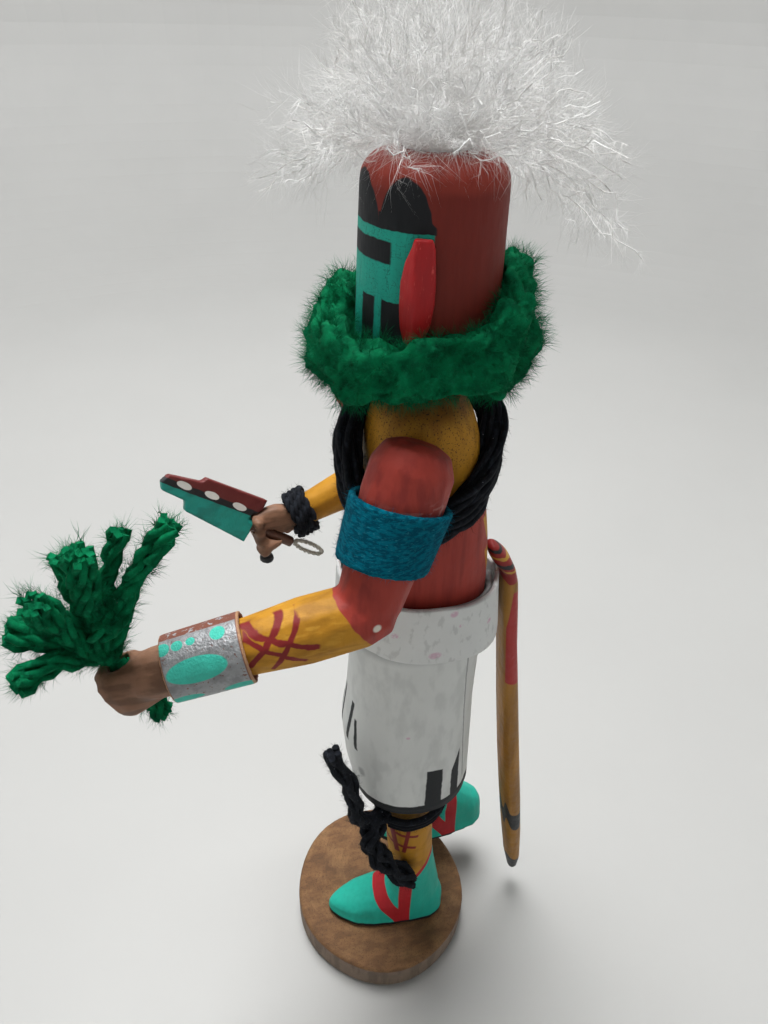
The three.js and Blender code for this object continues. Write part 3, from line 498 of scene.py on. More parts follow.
def arm_frame(finish, elbow, wrist):
    """Fields along a forearm, out to its side and up across it, in millimetres from the elbow."""
    axis = (Vector(wrist) - Vector(elbow)).normalized()
    aside = axis.cross(Vector((0, 0, 1))).normalized() * -1
    upward = axis.cross(aside).normalized()
    if upward.z < 0:
        upward.negate()
    return finish.along(axis, elbow), finish.along(aside, elbow), finish.along(upward, elbow)


def bare_hand(finish, hand):
    """A hand left as bare wood, with darker grain."""
    finish.coat(BARE_WOOD, hand)
    finish.coat(srgb(92, 66, 50), hand * finish.noise(0.5, 4, (1, 0.25, 1)).over(0.52, 0.1) * 0.7)


def left_arm_paint():
    finish = Finish("left_arm_paint", roughness=0.55, specular=0.25)
    finish.coat(BODY_RED)
    edge = ((finish.y + 16.1) * -7.1 + (finish.z - 149.5) * -5.1) / 8.74
    wobble = (finish.noise(0.3, 2) - 0.5) * 2
    forearm = (edge + wobble * 0.5).over(0, 0.15) * finish.z.under(158, 1)
    finish.coat(srgb(116, 40, 38), (1 - forearm) * finish.noise(0.4, 4, (1, 1, 0.15)).over(0.55, 0.1) * 0.5)
    wear = finish.noise(0.9, 5, (1, 0.25, 1)).over(0.56, 0.05)
    wear = wear * finish.z.within(161.5, 166.5, 1.6) * finish.x.over(19, 2)
    finish.coat(srgb(190, 130, 122), wear * 0.55)
    finish.coat(OCHRE, forearm)
    finish.coat(DEEP_OCHRE, forearm * finish.noise(0.35, 4, (1, 0.3, 1)).over(0.53, 0.09) * 0.55)
    finish.coat(srgb(206, 156, 58), forearm * finish.noise(0.6, 4, (1, 0.25, 1)).over(0.6, 0.06) * 0.5)
    across, up = finish.y, finish.z + (finish.noise(0.5, 2) - 0.5) * 1.0
    marks = strokes(across, up, LEFT_ARM_HATCHING)
    finish.coat(STROKE_RED, forearm * marks * finish.x.over(22.6, 0.4))
    bare_hand(finish, finish.y.under(-42.0, 0.2))
    chip = ellipse(finish.y, finish.z, (-10.8, 146.9), 0.7, 0.6, soft=0.3) * finish.x.over(24)
    finish.coat(srgb(226, 218, 205), chip)
    finish.vary(finish.noise(0.8, 4, (1, 1, 0.3)), 0.14)
    wood_under_paint(finish)
    return finish.material


def right_arm_paint():
    finish = Finish("right_arm_paint", roughness=0.55, specular=0.25)
    finish.coat(BODY_RED)
    edge = ((finish.y - 11.5) * -0.74 + (finish.z - 148.0) * -0.67)
    forearm = (edge + (finish.noise(0.3, 2) - 0.5) * 2).over(0, 0.2) * finish.z.under(158, 1)
    finish.coat(OCHRE, forearm)
    finish.coat(DEEP_OCHRE, forearm * finish.noise(0.35, 4, (1, 0.3, 1)).over(0.55, 0.09) * 0.4)
    marks = strokes(finish.y, finish.z, RIGHT_ARM_HATCHING)
    finish.coat(STROKE_RED, forearm * marks * finish.x.under(-20.0, 0.4))
    bare_hand(finish, finish.y.under(-16.4, 0.2))
    finish.vary(finish.noise(0.8, 4, (1, 1, 0.3)), 0.14)
    wood_under_paint(finish)
    return finish.material


def ear_paint():
    finish = Finish("ear_paint", roughness=0.45, specular=0.35)
    finish.coat(srgb(196, 30, 34))
    finish.coat(srgb(140, 20, 26), finish.noise(0.4, 3, (1, 1, 0.3)).over(0.5, 0.2) * 0.5)
    finish.coat(srgb(232, 96, 90), finish.noise(2.6, 3, (1, 1, 0.2)).over(0.68, 0.04) * 0.6)
    finish.vary(finish.noise(0.9, 3, (1, 1, 0.2)), 0.12)
    wood_under_paint(finish, 0.07)
    return finish.material


def base_wood():
    """Bare sawn end grain: brown, with dark rays crossing it and a greyer side."""
    finish = Finish("base_wood", roughness=0.78)
    finish.coat(srgb(128, 92, 58))
    slant = math.radians(58)
    ray = (math.cos(slant), math.sin(slant))
    across = finish.x * ray[1] - finish.y * ray[0]
    drift = (finish.noise(0.07, 3) - 0.5) * 9
    streaks = finish.noise(0.55, 5, (ray[0] * 0.25 + 0.75, ray[1] * 0.25 + 0.12, 1), roughness=0.6)
    finish.coat(srgb(94, 64, 40), streaks.over(0.5, 0.08) * 0.55)
    finish.coat(srgb(84, 58, 38), (across + drift * 0.5).size().under(1.6, 1.2) * 0.5)
    finish.coat(srgb(156, 118, 78), finish.noise(0.16, 4).over(0.56, 0.1) * 0.5)
    rings = ((finish.x + 5) * (finish.x + 5) + (finish.y - 3) * (finish.y - 3)).root()
    rings = ((rings + drift * 0.35) * 5.2).sine() * 0.5 + 0.5
    finish.coat(srgb(98, 70, 46), rings * finish.noise(0.3, 3).over(0.45, 0.15) * 0.22)
    pores = finish.noise(3.0, 2).over(0.6, 0.05)
    finish.coat(srgb(70, 48, 30), pores * 0.5)
    side = finish.z.under(BASE_HEIGHT - 0.9, 0.25)
    finish.coat(srgb(132, 116, 102), side * 0.85)
    finish.coat(srgb(98, 82, 68), side * finish.noise(0.4, 4, (1, 1, 0.15)).over(0.52, 0.08) * 0.6)
    finish.vary(finish.noise(0.5, 4), 0.18)
    finish.relief(finish.noise(1.2, 4, (1, 1, 0.2)), 0.16)
    finish.relief(pores, -0.08)
    return finish.material


# Each bar's middle and half width in degrees round the kilt, its height and its top's slant
KILT_BARS = (
    (12.4, 8.4, 84.4, -0.05), (36.2, 5.2, 84.2, 0.6), (157.0, 8.4, 84.4, 0.05), (-178.0, 5.0, 84.2, 0.4),
)
KILT_STROKES = (
    ((-19.2, 101.0), (-19.9, 88.0), 0.6), ((-17.4, 97.0), (-16.3, 88.0), 0.5),
    ((-25.2, 101.0), (-24.4, 88.0), 0.6), ((-27.0, 97.0), (-28.0, 88.0), 0.5),
)
# Each pink patch on the belt: its place, half width and half height
BELT_PATCHES = (
    ((3.7, 134.4), 0.9, 0.7), ((-0.3, 124.6), 1.4, 0.8), ((5.6, 131.0), 0.5, 0.4), ((-9.5, 130.0), 0.8, 0.6),
    ((14.0, 128.0), 0.7, 0.6), ((-22.0, 126.0), 1.2, 0.7), ((33.0, 131.0), 1.0, 0.7),
    ((-40.0, 129.0), 0.8, 0.6),
)


def kilt_paint():
    """White paint with a black hem, black bars with slanted tops, a few faint pink specks, a painted shadow
    line down the back and painted shade under the belt.
    """
    finish = Finish("kilt_paint", roughness=0.66, specular=0.3)
    finish.coat(WHITE_PAINT)
    around = (finish.y - KILT_AXIS[1]).math("ARCTAN2", finish.x - KILT_AXIS[0]) * (180 / math.pi)
    around = around + (finish.noise(0.5, 2) - 0.5) * 1.6
    arc = around * 0.255
    level = finish.z + (finish.noise(0.5, 2) - 0.5) * 0.7
    marks = level.under(72.0, 0.12)
    for centre, half, top, slant in KILT_BARS:
        line = (around - centre) * slant + top
        marks = marks.larger((around - centre).size().under(half, 0.6) * (line - level).over(0, 0.15))
    marks = marks.larger(strokes(arc, level, KILT_STROKES))
    finish.coat(BLACK_PAINT, marks)
    finish.coat(srgb(120, 122, 124), ellipse(arc, level, (-14.9, 80.9), 1.0, 1.4, soft=0.5) * 0.6)
    finish.coat(PINK, ellipse(arc, finish.z, (-4.2, 97.5), 0.45, 0.35, soft=0.3) * 0.6)
    finish.coat(PINK, ellipse(arc, finish.z, (-33.0, 108.0), 0.9, 0.6, soft=0.3) * 0.4)
    # Painted shadow: a dark grey slanted line down the back of the kilt, for the shade along an overlapping
    # edge.
    edge_shadow = around - 38.3 - (120.1 - finish.z) * 0.263
    finish.coat(srgb(96, 97, 99), edge_shadow.size().under(0.9, 0.7) * finish.z.within(74, 121, 1.0) * 0.7)
    # Painted shade under the belt: the kilt turns grey towards its top edge.
    finish.coat(srgb(128, 129, 131), finish.z.over(120.4, 1.6) * 0.6)
    finish.coat(srgb(170, 172, 171), finish.noise(0.3, 3, (1, 1, 0.4)).over(0.56, 0.1) * (1 - marks) * 0.3)
    finish.vary(finish.noise(0.15, 3), 0.05)
    finish.relief(finish.noise(2.0, 3), 0.03)
    return finish.material


def belt_paint():
    finish = Finish("belt_paint", roughness=0.7)
    finish.coat(srgb(218, 220, 219))
    around = (finish.y - KILT_AXIS[1]).math("ARCTAN2", finish.x - KILT_AXIS[0]) * (180 / math.pi)
    arc = around * 0.3
    broken = finish.noise(1.3, 2).over(0.4, 0.12)
    for centre, wide, tall in BELT_PATCHES:
        finish.coat(PINK, ellipse(arc, finish.z, centre, wide, tall, soft=0.35) * broken * 0.65)
    finish.coat(srgb(150, 152, 150), finish.noise(0.7, 4, (1, 1, 0.5)).over(0.62, 0.06) * 0.3)
    finish.vary(finish.noise(0.2, 3), 0.05)
    finish.relief(finish.noise(1.2, 4), 0.12)
    return finish.material


def pelt_paint():
    """A fox skin: a red head with fine stripes, an ochre back and black paws and tail tip."""
    finish = Finish("pelt_paint", roughness=0.5)
    finish.coat(srgb(170, 118, 34))
    grain = finish.noise(0.5, 4, (1, 1, 0.05))
    finish.coat(srgb(120, 78, 20), grain.over(0.5, 0.12) * 0.55)
    top = (finish.z + (finish.noise(0.4, 2) - 0.5) * 1.2)
    finish.coat(srgb(150, 34, 32), top.over(131.5, 0.15))
    finish.coat(srgb(196, 150, 50), top.within(137.6, 138.2, 0.1).larger(top.within(134.2, 134.7, 0.1)))
    finish.coat(BLACK_PAINT, top.within(135.4, 136.4, 0.1).larger(top.within(139.2, 139.8, 0.1)))
    streak = stroke(finish.x, finish.z, (7.2, 129), (7.0, 100), 0.9) * finish.y.over(24)
    finish.coat(srgb(170, 40, 36), streak)
    zigzag = ((finish.x * 1.9).sine() * 2.4 + finish.z).within(38, 46, 0.3)
    finish.coat(BLACK_PAINT, zigzag.larger((finish.x.sine() * 1.2 + finish.z).under(17.5, 0.3)))
    finish.vary(finish.noise(0.5, 3, (1, 1, 0.1)), 0.16)
    wood_under_paint(finish, 0.08)
    return finish.material


def wand_paint():
    """A board in turquoise and red-brown, parted by a black band with white ovals."""
    finish = Finish("wand_paint", roughness=0.55)
    finish.coat(srgb(96, 64, 48))
    along = finish.along(WAND_ALONG, WAND_START)
    across = finish.along(WAND_ACROSS, WAND_START) + (finish.noise(0.5, 2) - 0.5) * 0.3
    board = along.over(-0.75, 0.1) * (across.size().over(1.3, 0.1).larger(along.over(0.1, 0.1)))
    middle = along * -0.057 + 2.4
    finish.coat(srgb(24, 148, 134), board)
    finish.coat(srgb(16, 104, 96), board * finish.noise(0.5, 4, (1, 0.5, 1)).over(0.55, 0.1) * 0.5)
    finish.coat(srgb(104, 36, 34), board * (across - middle).over(0.3, 0.1))
    finish.coat(BLACK_PAINT, board * (across - middle).within(-0.65, 0.65, 0.1))
    for place, beside in ((4.4, 2.5), (10.8, 2.3), (16.8, 1.9)):
        finish.coat(srgb(228, 228, 222), board * ellipse(along, across, (place, beside), 1.6, 0.72))
    finish.vary(finish.noise(0.6, 3, (1, 0.4, 1)), 0.12)
    wood_under_paint(finish, 0.06)
    return finish.material


def plain_wood_paint(name, colour):
    finish = Finish(name, roughness=0.6)
    finish.coat(colour)
    finish.vary(finish.noise(0.8, 3), 0.25)
    wood_under_paint(finish, 0.08)
    return finish.material


def silvered_leather():
    """Brown leather with a worn silver face, turquoise spots and a tan cut edge."""
    finish = Finish("silvered_leather", roughness=0.5)
    finish.coat(srgb(112, 62, 46))
    along, aside, upward = arm_frame(finish, LEFT_ELBOW, LEFT_WRIST)
    around = upward.math("ARCTAN2", aside) * (180 / math.pi)
    reach = (aside * aside + upward * upward).root() + (along - 20) * 0.035
    outside = reach.over(5.78, 0.12)
    grain = finish.noise(1.6, 4)
    silver = around.within(-82, 96, 1.0) * outside * along.within(20.6, 33.0, 0.1)
    worn = grain.over(0.34, 0.05)
    finish.coat(srgb(150, 152, 154), silver * worn)
    finish.coat(srgb(112, 112, 114), silver * finish.noise(0.5, 4).over(0.54, 0.1) * 0.6)
    flecks = around.within(96, 120, 4.0) * outside * finish.noise(1.0, 4).over(0.6, 0.03)
    finish.coat(srgb(150, 152, 156), flecks)
    spots = ellipse(along, around, (27.9, 32), 4.9, 21, tilt=0, soft=0.04)
    for place, angle, size in ((32.6, 78, 1.2), (30.2, 78, 0.95), (28.0, 79, 0.75), (23.6, 80, 1.25)):
        spots = spots.larger(ellipse(along, around, (place, angle), size, size * 9.4, soft=0.06))
    for place, angle in ((31.2, -24), (22.2, -26)):
        spots = spots.larger(ellipse(along, around, (place, angle), 2.9, 12, soft=0.06))
    finish.coat(srgb(52, 182, 162), spots * outside)
    rim = along.under(20.45, 0.08).larger(along.over(33.1, 0.08))
    finish.coat(srgb(170, 130, 96), rim * outside * 0.9)
    finish.vary(finish.noise(0.7, 4), 0.2)
    finish.relief(finish.noise(2.4, 4), 0.16)
    metal = silver * worn * (1 - spots)
    finish.tree.links.new((metal * 0.45).socket, finish.shader.inputs["Metallic"])
    finish.roughness(0.64 - metal * 0.16)
    return finish.material


def felt():
    finish = Finish("teal_felt", roughness=1.0, specular=0.1)
    finish.coat(srgb(0, 104, 126))
    finish.coat(srgb(0, 62, 82), finish.noise(1.4, 4, (0.5, 0.5, 1.6)).over(0.5, 0.1) * 0.75)
    finish.coat(srgb(60, 150, 166), finish.noise(4.0, 2, (0.4, 0.4, 2.0)).over(0.64, 0.04) * 0.4)
    finish.relief(finish.noise(3.2, 4, (0.5, 0.5, 1.6)), 0.25)
    return finish.material


def green_wool():
    finish = Finish("green_wool", roughness=1.0, specular=0.12)
    finish.coat(srgb(2, 112, 70))
    finish.coat(srgb(0, 62, 40), finish.noise(0.45, 3).over(0.54, 0.14) * 0.6)
    finish.coat(srgb(26, 134, 92), finish.noise(1.1, 3).over(0.6, 0.08) * 0.4)
    finish.vary(finish.noise(4.0, 2), 0.25)
    return finish.material


def black_wool():
    finish = Finish("black_wool", roughness=0.9, specular=0.2)
    finish.coat(srgb(20, 23, 29))
    finish.coat(srgb(42, 47, 56), finish.noise(0.9, 3).over(0.58, 0.08) * 0.5)
    # Painted glints: rare bright specks stand in for light caught on the fibres.
    finish.coat(srgb(190, 196, 205), finish.noise(1.9, 1).over(0.80, 0.01) * 0.7)
    finish.vary(finish.noise(4.0, 2), 0.3)
    return finish.material


def white_down():
    finish = Finish("white_down", roughness=0.9, specular=0.1)
    finish.coat(srgb(246, 246, 245))
    finish.coat(srgb(214, 211, 207), finish.noise(0.12, 3).over(0.52, 0.12) * 0.5)
    return finish.material


def pale_string():
    finish = Finish("pale_string", roughness=0.8)
    finish.coat(srgb(188, 184, 174))
    finish.vary(finish.noise(2.0, 3), 0.2)
    finish.relief(finish.noise(4.0, 3), 0.12)
    return finish.material


# Pieces

def new_piece(name, points, faces=(), edges=()):
    mesh = bpy.data.meshes.new(name)
    mesh.from_pydata([tuple(p) for p in points], [tuple(e) for e in edges], [tuple(f) for f in faces])
    mesh.validate()
    return placed(name, mesh)


def settle(piece):
    """Turns a piece and its live modifiers into one plain smooth mesh."""
    graph = bpy.context.evaluated_depsgraph_get()
    mesh = bpy.data.meshes.new_from_object(piece.evaluated_get(graph))
    piece.modifiers.clear()
    piece.data = mesh
    mesh.polygons.foreach_set("use_smooth", [True] * len(mesh.polygons))
    mesh.update()
    return piece


def merged_copy(node, name):
    """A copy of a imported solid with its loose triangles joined."""
    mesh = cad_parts[node].data.copy()
    mesh.materials.clear()
    form = bmesh.new()
    form.from_mesh(mesh)
    bmesh.ops.remove_doubles(form, verts=form.verts, dist=1e-6)
    form.to_mesh(mesh)
    form.free()
    return placed(name, mesh)


def softened(node, name, voxel, rounds):
    """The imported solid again, evenly meshed, its facets worn smooth as a knife and sandpaper leave it."""
    piece = merged_copy(node, name)
    remesh = piece.modifiers.new("Even mesh", "REMESH")
    remesh.mode = "VOXEL"
    remesh.voxel_size = voxel * MM
    soften = piece.modifiers.new("Soften", "SMOOTH")
    soften.factor = 0.5
    soften.iterations = rounds
    fewer = piece.modifiers.new("Fewer faces", "DECIMATE")
    fewer.ratio = FACES_KEPT
    return settle(piece)


def reshaped(piece, shape):
    """Moves every vertex to the place that shape(place, outward), in millimetres, gives."""
    mesh = piece.data
    places = [v.co / MM for v in mesh.vertices]
    outward = [n.vector.copy() for n in mesh.vertex_normals]
    moved = [shape(place, way) * MM for place, way in zip(places, outward)]
    mesh.vertices.foreach_set("co", np.array(moved, np.float32).ravel())
    mesh.update()
    return piece


def dress(piece, material, node):
    """Gives a piece its material and its place in the part."""
    piece.data.materials.clear()
    piece.data.materials.append(material)
    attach(piece, BODY)
    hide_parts(node)


# Geometry node trees

class Tree:
    """A tree of geometry nodes with named inputs."""

    KINDS = {float: "NodeSocketFloat", int: "NodeSocketInt"}

    def __init__(self, name, **inputs):
        self.tree = bpy.data.node_groups.new(name, "GeometryNodeTree")
        face = self.tree.interface
        face.new_socket("Geometry", in_out="OUTPUT", socket_type="NodeSocketGeometry")
        face.new_socket("Geometry", in_out="INPUT", socket_type="NodeSocketGeometry")
        for label, value in inputs.items():
            kind = value if isinstance(value, str) else self.KINDS[type(value)]
            socket = face.new_socket(label, in_out="INPUT", socket_type=kind)
            if not isinstance(value, str):
                socket.default_value = value
        self.source = self.tree.nodes.new("NodeGroupInput")
        self.sink = self.tree.nodes.new("NodeGroupOutput")

    def given(self, label):
        return self.source.outputs[label]

    def node(self, kind, settings=None, **inputs):
        node = self.tree.nodes.new(kind)
        for key, value in (settings or {}).items():
            setattr(node, key, value)
        for label, value in inputs.items():
            self.set(node, label.replace("_", " "), value)
        return node

    def set(self, node, slot, value):
        socket = node.inputs[slot]
        if isinstance(value, bpy.types.Node):
            value = value.outputs[0]
        if isinstance(value, bpy.types.NodeSocket):
            self.tree.links.new(value, socket)
        else:
            socket.default_value = value

    def math(self, kind, *values):
        node = self.node("ShaderNodeMath", {"operation": kind})
        for k, value in enumerate(values):
            self.set(node, k, value)
        return node.outputs[0]

    def vector(self, kind, *values):
        node = self.node("ShaderNodeVectorMath", {"operation": kind})
        for k, value in enumerate(values):
            self.set(node, "Scale" if kind == "SCALE" and k == 1 else k, value)
        return node.outputs[0]

    def random_vector(self, seed):
        node = self.node("FunctionNodeRandomValue", {"data_type": "FLOAT_VECTOR"})
        node.inputs[0].default_value = (-1, -1, -1)
        node.inputs[1].default_value = (1, 1, 1)
        self.set(node, "Seed", seed)
        return node.outputs[0]

    def random_number(self, low, high, seed):
        node = self.node("FunctionNodeRandomValue", {"data_type": "FLOAT"})
        node.inputs[2].default_value = low
        node.inputs[3].default_value = high
        self.set(node, "Seed", seed)
        return node.outputs[1]

    def waves(self, geometry, amount, scale):
        """Moves every point a little, by smooth noise."""
        noise = self.node("ShaderNodeTexNoise", Scale=scale, Detail=1.0)
        push = self.vector("SUBTRACT", noise.outputs["Color"], (0.5, 0.5, 0.5))
        offset = self.vector("SCALE", push, amount)
        return self.node("GeometryNodeSetPosition", Geometry=geometry, Offset=offset)

    def hairs(self, points, direction, fibre, scale, seed):
        """Stands one fibre on each point, along the direction, spun at random."""
        spin = self.node("ShaderNodeCombineXYZ", Z=self.random_number(0.0, 6.283, seed))
        start = self.node("FunctionNodeEulerToRotation", Euler=spin)
        aim = self.node("FunctionNodeAlignRotationToVector", {"axis": "Z"}, Rotation=start, Vector=direction)
        info = self.node("GeometryNodeObjectInfo", Object=fibre)
        placed = self.node(
            "GeometryNodeInstanceOnPoints", Points=points, Instance=info.outputs["Geometry"],
            Rotation=aim, Scale=scale,
        )
        return self.node("GeometryNodeRealizeInstances", Geometry=placed)

    def finish(self, geometry):
        paint = self.node("GeometryNodeSetMaterial", Geometry=geometry, Material=self.given("Material"))
        self.tree.links.new(paint.outputs[0], self.sink.inputs[0])
        return self.tree


def fuzz_tree():
    """Fibres on a surface: they stand on its faces and lean along the flow that the surface carries."""
    t = Tree(
        "Fuzz", Fibre="NodeSocketObject", Density=1e6, Spread=0.5, Flow=0.0, Curl=0.0003,
        CurlScale=700.0, Clump=0.0, Seed=1, Material="NodeSocketMaterial",
    )
    spots = t.node(
        "GeometryNodeDistributePointsOnFaces", Mesh=t.given("Geometry"), Density=t.given("Density"),
        Seed=t.given("Seed"),
    )
    flow = t.node("GeometryNodeInputNamedAttribute", {"data_type": "FLOAT_VECTOR"}, Name="flow")
    lean = t.vector("SCALE", flow.outputs[0], t.given("Flow"))
    stray = t.vector("SCALE", t.random_vector(3), t.given("Spread"))
    together = t.node("ShaderNodeTexNoise", Scale=520.0, Detail=1.0)
    parted = t.vector("SUBTRACT", together.outputs["Color"], (0.5, 0.5, 0.5))
    stray = t.vector("ADD", stray, t.vector("SCALE", parted, t.given("Clump")))
    direction = t.vector("NORMALIZE", t.vector("ADD", t.vector("ADD", spots.outputs["Normal"], lean), stray))
    size = t.random_number(0.45, 1.15, 5)
    hair = t.hairs(spots.outputs["Points"], direction, t.given("Fibre"), size, 7)
    hair = t.waves(hair, t.given("Curl"), t.given("CurlScale"))
    both = t.node("GeometryNodeJoinGeometry")
    t.tree.links.new(hair.outputs[0], both.inputs[0])
    t.tree.links.new(t.given("Geometry"), both.inputs[0])
    smooth = t.node("GeometryNodeSetShadeSmooth", Geometry=both)
    return t.finish(smooth)


def yarn_tree():
    """Plied yarn along paths: each path's plies wind round it, and carry its direction as their flow."""
    t = Tree(
        "Plied yarn", Radius=0.0008, Plies=2, Twist=250.0, Step=0.0008, Sides=6, Waver=0.0002,
        Material="NodeSocketMaterial",
    )
    path = t.node("GeometryNodeMeshToCurve", Mesh=t.given("Geometry"))
    even = t.node("GeometryNodeResampleCurve", {"mode": "LENGTH"}, Curve=path, Length=t.given("Step"))
    even = t.waves(even, t.given("Waver"), 400.0)
    plies = t.node(
        "GeometryNodeDuplicateElements", {"domain": "SPLINE"}, Geometry=even, Amount=t.given("Plies"),
    )
    reach = t.node("GeometryNodeSplineParameter").outputs["Length"]
    share = t.math("DIVIDE", plies.outputs["Duplicate Index"], t.given("Plies"))
    turns = t.math("MULTIPLY", t.math("ADD", t.math("MULTIPLY", reach, t.given("Twist")), share), 6.2832)
    normal = t.node("GeometryNodeInputNormal").outputs[0]
    tangent = t.node("GeometryNodeInputTangent").outputs[0]
    third = t.vector("CROSS_PRODUCT", tangent, normal)
    one_way = t.vector("SCALE", normal, t.math("COSINE", turns))
    other_way = t.vector("SCALE", third, t.math("SINE", turns))
    out = t.vector("ADD", one_way, other_way)
    several = t.math("GREATER_THAN", t.given("Plies"), 1.5)
    offset = t.math("MULTIPLY", t.math("MULTIPLY", t.given("Radius"), 0.48), several)
    wound = t.node(
        "GeometryNodeSetPosition", Geometry=plies.outputs["Geometry"], Offset=t.vector("SCALE", out, offset),
    )
    flow = t.node(
        "GeometryNodeStoreNamedAttribute", {"data_type": "FLOAT_VECTOR", "domain": "POINT"},
        Geometry=wound, Name="flow", Value=t.node("GeometryNodeInputTangent").outputs[0],
    )
    thick = t.math("MULTIPLY", t.given("Radius"), t.math("SUBTRACT", 1.0, t.math("MULTIPLY", several, 0.4)))
    profile = t.node("GeometryNodeCurvePrimitiveCircle", Resolution=t.given("Sides"), Radius=thick)
    tube = t.node("GeometryNodeCurveToMesh", Curve=flow, Profile_Curve=profile, Fill_Caps=True)
    return t.finish(t.node("GeometryNodeSetShadeSmooth", Geometry=tube))


def down_tree():
    """Down along quills: barbs stand round each quill, longest at its middle, and sway."""
    t = Tree(
        "Down", Barb="NodeSocketObject", Step=0.0003, Lean=1.0, Sway=0.002, SwayScale=130.0,
        Quill=0.00006, Material="NodeSocketMaterial",
    )
    path = t.node("GeometryNodeMeshToCurve", Mesh=t.given("Geometry"))
    even = t.node("GeometryNodeResampleCurve", {"mode": "LENGTH"}, Curve=path, Length=t.given("Step"))
    tangent = t.node("GeometryNodeInputTangent").outputs[0]
    along = t.node("GeometryNodeSplineParameter").outputs["Factor"]
    aside = t.vector("CROSS_PRODUCT", t.vector("NORMALIZE", t.random_vector(2)), tangent)
    ahead = t.vector("SCALE", tangent, t.given("Lean"))
    direction = t.vector("NORMALIZE", t.vector("ADD", t.vector("NORMALIZE", aside), ahead))
    swell = t.math("SINE", t.math("ADD", t.math("MULTIPLY", along, 2.3), 0.55))
    swell = t.math("ADD", t.math("MULTIPLY", swell, 0.75), 0.25)
    size = t.math("MULTIPLY", swell, t.random_number(0.55, 1.15, 4))
    barbs = t.hairs(even, direction, t.given("Barb"), size, 6)
    quill = t.node("GeometryNodeCurvePrimitiveCircle", Resolution=3, Radius=t.given("Quill"))
    coarse = t.node("GeometryNodeResampleCurve", {"mode": "COUNT"}, Curve=path, Count=12)
    shaft = t.node("GeometryNodeCurveToMesh", Curve=coarse, Profile_Curve=quill, Fill_Caps=True)
    both = t.node("GeometryNodeJoinGeometry")
    t.tree.links.new(barbs.outputs[0], both.inputs[0])
    t.tree.links.new(shaft.outputs[0], both.inputs[0])
    swayed = t.waves(both, t.given("Sway"), t.given("SwayScale"))
    return t.finish(t.node("GeometryNodeSetShadeSmooth", Geometry=swayed))


def run_tree(piece, tree, **inputs):
    """Runs a tree on a piece, and leaves its result as a plain mesh."""
    modifier = piece.modifiers.new(tree.name, "NODES")
    modifier.node_group = tree
    for item in tree.interface.items_tree:
        if item.in_out == "INPUT" and item.name in inputs:
            modifier[item.identifier] = inputs[item.name]
    return settle(piece)


def fibre(name, length, radius, bend, steps):
    """A single tapering three-sided hair that stands on the origin and bends to one side."""
    points, faces = [], []
    for i in range(steps):
        t = i / steps
        for j in range(3):
            a = 2 * math.pi * j / 3
            r = radius * (1 - 0.6 * t)
            points.append(point(bend * t * t + r * math.cos(a), r * math.sin(a), length * t))
    points.append(point(bend, 0, length))
    faces.append((2, 1, 0))
    for i in range(steps - 1):
        for j in range(3):
            a, b = 3 * i + j, 3 * i + (j + 1) % 3
            faces.append((a, b, b + 3, a + 3))
    last = 3 * (steps - 1)
    faces += [(last + j, last + (j + 1) % 3, 3 * steps) for j in range(3)]
    return new_piece(name, points, faces)


def tuft(name, count, length, radius, bend, fan, steps=2):
    """A few hairs that rise from one root and fan out."""
    hairs = []
    for k in range(count):
        hair = fibre("%s_%d" % (name, k), length * RNG.uniform(0.75, 1.1), radius, bend, steps)
        lean = Vector((*RNG.uniform(-fan, fan, 2), 1)).to_track_quat("Z", "Y").to_matrix().to_4x4()
        shift = Matrix.Translation(Vector((*RNG.uniform(-0.25, 0.25, 2), 0)) * MM)
        hair.data.transform(shift @ lean @ Matrix.Rotation(RNG.uniform(0, 6.28), 4, "Z"))
        hairs.append(hair)
    return join_pieces(name, hairs)


# Paths

def smooth_path(places, steps, closed=False):
    """A Catmull-Rom curve through places in millimetres."""
    places = [np.array(p, float) for p in places]
    n = len(places)
    def pick(i):
        return places[i % n] if closed else places[min(n - 1, max(0, i))]
    curve = []
    for i in range(n if closed else n - 1):
        a, b, c, d = (pick(i + k) for k in (-1, 0, 1, 2))
        for k in range(steps):
            t = k / steps
            curve.append(0.5 * (
                2 * b + (c - a) * t + (2 * a - 5 * b + 4 * c - d) * t ** 2 + (3 * b - a - 3 * c + d) * t ** 3
            ))
    if not closed:
        curve.append(places[-1])
    return np.array(curve)


def path_piece(name, paths, closed=False):
    """Paths in millimetres, as a mesh of edges only."""
    points, edges = [], []
    for path in paths:
        start = len(points)
        points += [point(*p) for p in path]
        edges += [(start + i, start + i + 1) for i in range(len(path) - 1)]
        if closed:
            edges.append((len(points) - 1, start))
    return new_piece(name, points, edges=edges)


def side_axes(path, outward, closed):
    """At each place of a path, the way out from a centre and the way across it."""
    tangent = np.gradient(path, axis=0)
    if closed:
        tangent = np.roll(path, -1, axis=0) - np.roll(path, 1, axis=0)
    tangent /= np.linalg.norm(tangent, axis=1, keepdims=True)
    out = outward(path)
    out -= tangent * np.sum(out * tangent, axis=1, keepdims=True)
    out /= np.linalg.norm(out, axis=1, keepdims=True)
    return out, np.cross(tangent, out)


def strands(path, offsets, outward, closed=False, wander=0.2):
    """Paths beside a main path, one for each offset (out, across), wandering a little."""
    out, across = side_axes(path, outward, closed)
    reach = np.linspace(0, 2 * math.pi, len(path), endpoint=not closed)
    result = []
    for a, b in offsets:
        phase = RNG.uniform(0, 2 * math.pi, 2)
        drift_a = a + wander * np.sin(3 * reach + phase[0])
        drift_b = b + wander * np.sin(4 * reach + phase[1])
        result.append(path + out * drift_a[:, None] + across * drift_b[:, None])
    return result


def join_pieces(name, pieces):
    """Several plain meshes as one piece."""
    form = bmesh.new()
    for piece in pieces:
        form.from_mesh(piece.data)
    mesh = bpy.data.meshes.new(name)
    form.to_mesh(mesh)
    form.free()
    for piece in pieces:
        bpy.data.objects.remove(piece)
    mesh.polygons.foreach_set("use_smooth", [True] * len(mesh.polygons))
    return placed(name, mesh)


# Sheets wrapped round the waist

